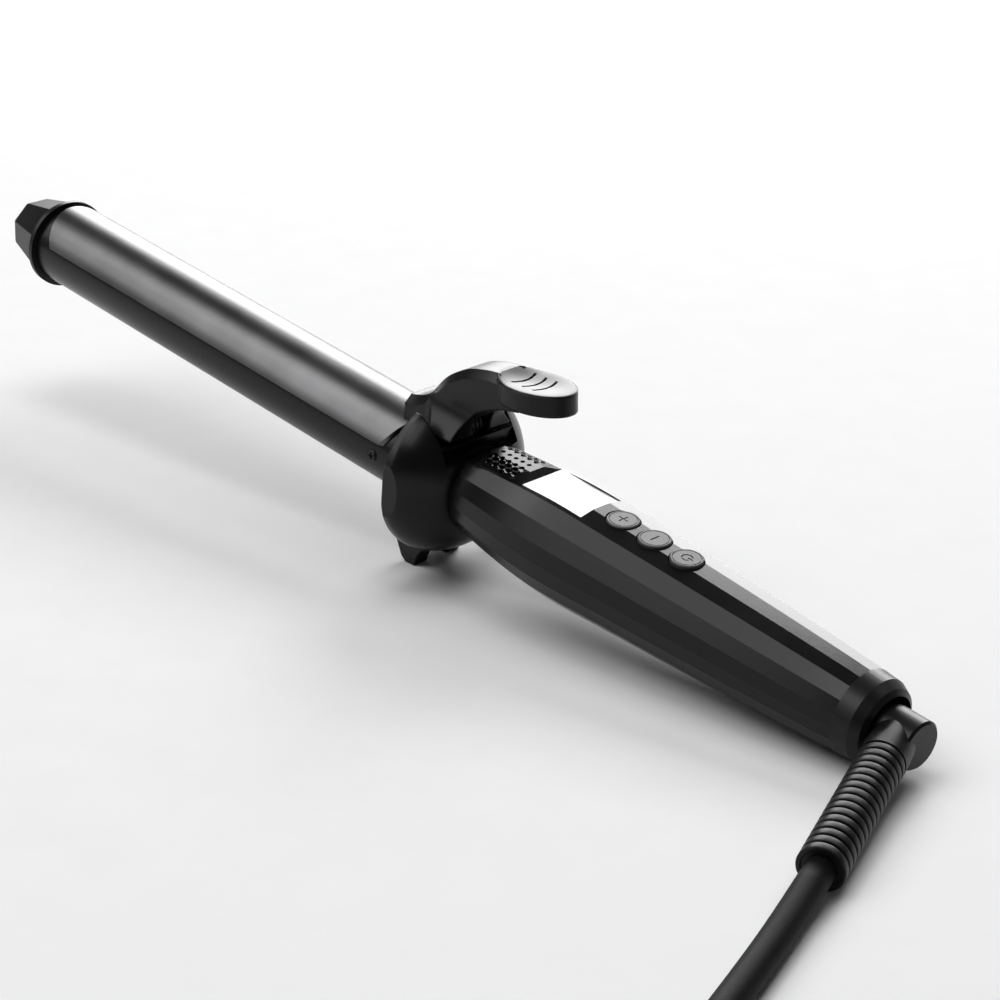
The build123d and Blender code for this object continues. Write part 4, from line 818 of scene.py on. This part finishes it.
@dataclass
class ThumbPad:
    """The dished inlay on the lever, with a rolled rim and three grip grooves."""

    middle: Triple = (39.5, 0.0, 39.2)
    tilt_deg: float = 7.0
    half_long: float = 12.75
    half_wide: float = 7.95
    seat_inset: float = 1.35
    seat_top: float = 0.02
    seat_depth: float = 1.7
    proud: float = 0.25
    rim_edge: float = 0.03
    dish: float = 0.55
    roll: float = 0.09
    ramp_from: float = 3.4
    ramp_run: float = 7.2
    ramp_rise: float = 0.92
    groove_r: float = 9.0
    groove_half: float = 0.36
    groove_depth: float = 0.5
    groove_reach: float = 4.4
    groove_x: tuple[float, ...] = (-4.0, 0.0, 4.0)
    rings: int = 84
    sides: int = 320

    def place(self, x: float, y: float, z: float) -> Vector:
        """Place of a point given on the pad's own plane.

        Args:
            x: distance along the pad, from its middle.
            y: distance across the pad.
            z: height over the lever's top.

        Returns:
            The point in the row frame.
        """
        tilt = math.radians(self.tilt_deg)
        mx, my, mz = self.middle
        return REST.point(mx + x * math.cos(tilt) - z * math.sin(tilt), my + y,
                          mz + x * math.sin(tilt) + z * math.cos(tilt))

    def height(self, share: float, x: float, y: float) -> float:
        """Height of the pad's top.

        Args:
            share: distance from the middle as a share of the outline.
            x: place along the pad.
            y: place across the pad.

        Returns:
            The height over the lever's own top, in millimetres.
        """
        inner = min(share / (1 - self.roll), 1.0)
        top = self.proud - self.dish * (1 - inner * inner) ** 2
        over = max(0.0, (share - 1 + self.roll) / self.roll)
        top -= (self.proud - self.rim_edge) * (1 - math.sqrt(max(0.0, 1 - over * over)))
        climb = min(max((-x - self.ramp_from) / self.ramp_run, 0.0), 1.0)
        top += self.ramp_rise * climb * climb
        for middle in self.groove_x:
            off = abs(math.hypot(x - middle + self.groove_r, y) - self.groove_r) / self.groove_half
            ends = min(max((self.groove_reach - abs(y)) / self.groove_half, 0.0), 1.0)
            if off < 1 and x > middle - self.groove_r:
                top -= self.groove_depth * (1 - off ** 4) * ends
        return top

    def ring(self, bm: bmesh.types.BMesh, share: float, inset: float,
             z: float | None) -> list[bmesh.types.BMVert]:
        """Adds one ring of points.

        Args:
            bm: the mesh under construction.
            share: size of the ring as a share of the outline.
            inset: how far the outline is drawn in, in millimetres.
            z: a level height, or None to follow the pad's top.

        Returns:
            The ring's points in order.
        """
        points = []
        for k in range(self.sides):
            angle = FULL_TURN * k / self.sides
            x = (self.half_long - inset) * share * math.cos(angle)
            y = (self.half_wide - inset) * share * math.sin(angle)
            level = self.height(share, x, y) if z is None else z
            points.append(bm.verts.new(self.place(x, y, level)))
        return points

    def build(self) -> bpy.types.Object:
        """Returns:
            The pad's mesh object, riding on the clip.
        """
        bm = bmesh.new()
        hub = bm.verts.new(self.place(0, 0, self.height(0, 0, 0)))
        rings = [self.ring(bm, (i + 1) / self.rings, 0, None) for i in range(self.rings)]
        rings.append(self.ring(bm, 1, self.seat_inset, self.seat_top))
        rings.append(self.ring(bm, 1, self.seat_inset, -self.seat_depth))
        for k in range(self.sides):
            bm.faces.new((hub, rings[0][k], rings[0][(k + 1) % self.sides])).smooth = True
        for i, (near, far) in enumerate(zip(rings, rings[1:])):
            bridge(bm, near, far, smooth=i < self.rings - 1)
        bm.faces.new(rings[-1])
        bmesh.ops.recalc_face_normals(bm, faces=bm.faces)
        pad = mesh_object("grip_pad", bm, PAD_PLASTIC.material())
        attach(pad, Body.CLIP.value)
        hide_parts("thumb_pad")
        return pad


@dataclass(frozen=True)
class Lamp:
    """One soft box: its place and size in metres, its power in watts and the point that it faces."""

    name: str
    place: Triple
    size: tuple[float, float]
    power: float
    shows: Shows
    aim: Triple = (0.0, 0.0, 0.03)

    def hang(self) -> None:
        """Adds the lamp to the scene."""
        data = bpy.data.lights.new(self.name, "AREA")
        data.shape = "RECTANGLE"
        data.size, data.size_y = self.size
        data.energy = self.power
        lamp = bpy.data.objects.new(self.name, data)
        lamp.location = self.place
        lamp.rotation_euler = (Vector(self.aim) - Vector(self.place)).to_track_quat("-Z", "Y").to_euler()
        lamp.visible_glossy = self.shows is Shows.GLOSS
        lamp.visible_diffuse = self.shows is Shows.MATT
        bpy.context.scene.collection.objects.link(lamp)


LAMPS: tuple[Lamp, ...] = (
    Lamp("back_box", (-1.53, 2.18, 1.16), (2.7, 1.66), 127, Shows.GLOSS),
    Lamp("front_panel", (-0.95, -1.14, 1.338), (1.25, 1.5), 19, Shows.GLOSS),
    Lamp("front_low", (-1.115, -1.784, 0.643), (1.2, 0.6), 2.9, Shows.GLOSS),
    Lamp("front_side", (-1.29, -0.575, 1.414), (0.5, 0.9), 3.6, Shows.GLOSS),
    Lamp("near_box", (0.15, -1.3, 1.65), (1.2, 1.2), 14, Shows.GLOSS),
    Lamp("side_panel", (0.7, 0.8, 1.7), (0.9, 0.9), 3.4, Shows.GLOSS, (0.15, 0, 0)),
    Lamp("key_box", (-0.15, 0.4, 2.4), (1.5, 1.5), 20.5, Shows.MATT, (0, 0, 0)),
    Lamp("slant_box", (-0.54, 1.76, 1.54), (1.1, 1.1), 27.5, Shows.MATT, (0, 0, 0)),
    Lamp("fill_box", (-0.9, -0.9, 2.2), (2.0, 2.0), 28, Shows.MATT, (0, 0, 0)),
)


@dataclass
class Studio:
    """Camera, floor and light of the photograph."""

    eye: Triple = (0.497816, -0.415972, 0.300212)
    turn_deg: Triple = (66.12434, 0.68417, 47.50045)
    lens: float = 89.802
    sensor: float = 36.0
    clip: tuple[float, float] = (0.01, 100.0)
    floor_half: float = 6.0
    floor_z: float = -0.0002
    room_light: float = 0.08
    backdrop: float = 0.95
    fade: tuple[float, float] = (1.0, 2.2)

    def camera(self) -> None:
        """Places the camera at the photograph's viewpoint."""
        data = bpy.data.cameras.new("camera")
        data.lens = self.lens
        data.sensor_width = self.sensor
        data.clip_start, data.clip_end = self.clip
        cam = bpy.data.objects.new("camera", data)
        cam.location = self.eye
        cam.rotation_euler = Euler([math.radians(a) for a in self.turn_deg], "XYZ")
        bpy.context.scene.collection.objects.link(cam)
        bpy.context.scene.camera = cam

    def faded(self, mat: bpy.types.Material) -> bpy.types.Material:
        """Lets far parts of a surface go over into the backdrop, for the camera alone.

        Args:
            mat: the floor's material.

        Returns:
            The same material.
        """
        tree = mat.node_tree
        place = add_node(tree, "ShaderNodeTexCoord", {})
        away = add_node(tree, "ShaderNodeVectorMath", {0: place.outputs["Object"]}, operation="LENGTH")
        share = add_node(tree, "ShaderNodeMapRange", {
            "Value": away.outputs["Value"], "From Min": self.fade[0], "From Max": self.fade[1]},
            interpolation_type="SMOOTHSTEP")
        ray = add_node(tree, "ShaderNodeLightPath", {})
        seen = add_node(tree, "ShaderNodeMath", {
            0: share.outputs["Result"], 1: ray.outputs["Is Camera Ray"]}, operation="MULTIPLY")
        glow = add_node(tree, "ShaderNodeEmission", {"Strength": self.backdrop})
        mix = add_node(tree, "ShaderNodeMixShader", {
            0: seen.outputs["Value"], 1: tree.nodes["Principled BSDF"].outputs["BSDF"],
            2: glow.outputs["Emission"]})
        feed(tree, tree.nodes["Material Output"], {"Surface": mix.outputs["Shader"]})
        return mat

    def floor(self) -> None:
        """Lays the pale floor."""
        bm = bmesh.new()
        bmesh.ops.create_grid(bm, x_segments=1, y_segments=1, size=self.floor_half)
        floor = mesh_object("floor", bm, self.faded(PALE_FLOOR.material()))
        floor.location.z = self.floor_z

    def light(self) -> None:
        """Hangs the lamps and sets the room's light, with a white backdrop for the camera alone."""
        for lamp in LAMPS:
            lamp.hang()
        world = bpy.data.worlds.new("room")
        bpy.context.scene.world = world
        world.use_nodes = True
        tree = world.node_tree
        ray = add_node(tree, "ShaderNodeLightPath", {})
        level = add_node(tree, "ShaderNodeMapRange", {
            "Value": ray.outputs["Is Camera Ray"], "To Min": self.room_light, "To Max": self.backdrop})
        feed(tree, tree.nodes["Background"], {"Color": (1, 1, 1, 1), "Strength": level.outputs["Result"]})

    def build(self) -> None:
        """Builds the whole studio."""
        self.camera()
        self.floor()
        self.light()
        bpy.context.scene.view_settings.view_transform = "Standard"


def main() -> None:
    """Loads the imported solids, dresses them, adds the rebuilt pieces and sets up the studio."""
    logging.basicConfig(level=logging.INFO, format="%(message)s")
    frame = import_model()
    dress_nodes(frame["nodes"])
    cord = Cord()
    vent = frame["nodes"]["vent_grille"]
    for piece in (cord.build(), RibbedBoot(cord).build(), BarrelScrews().build(),
                  VentHood().build(vent), ThumbPad().build()):
        LOG.info("piece %s with %d faces", piece.name, len(piece.data.polygons))
    Studio().build()


if __name__ == "__main__":
    main()
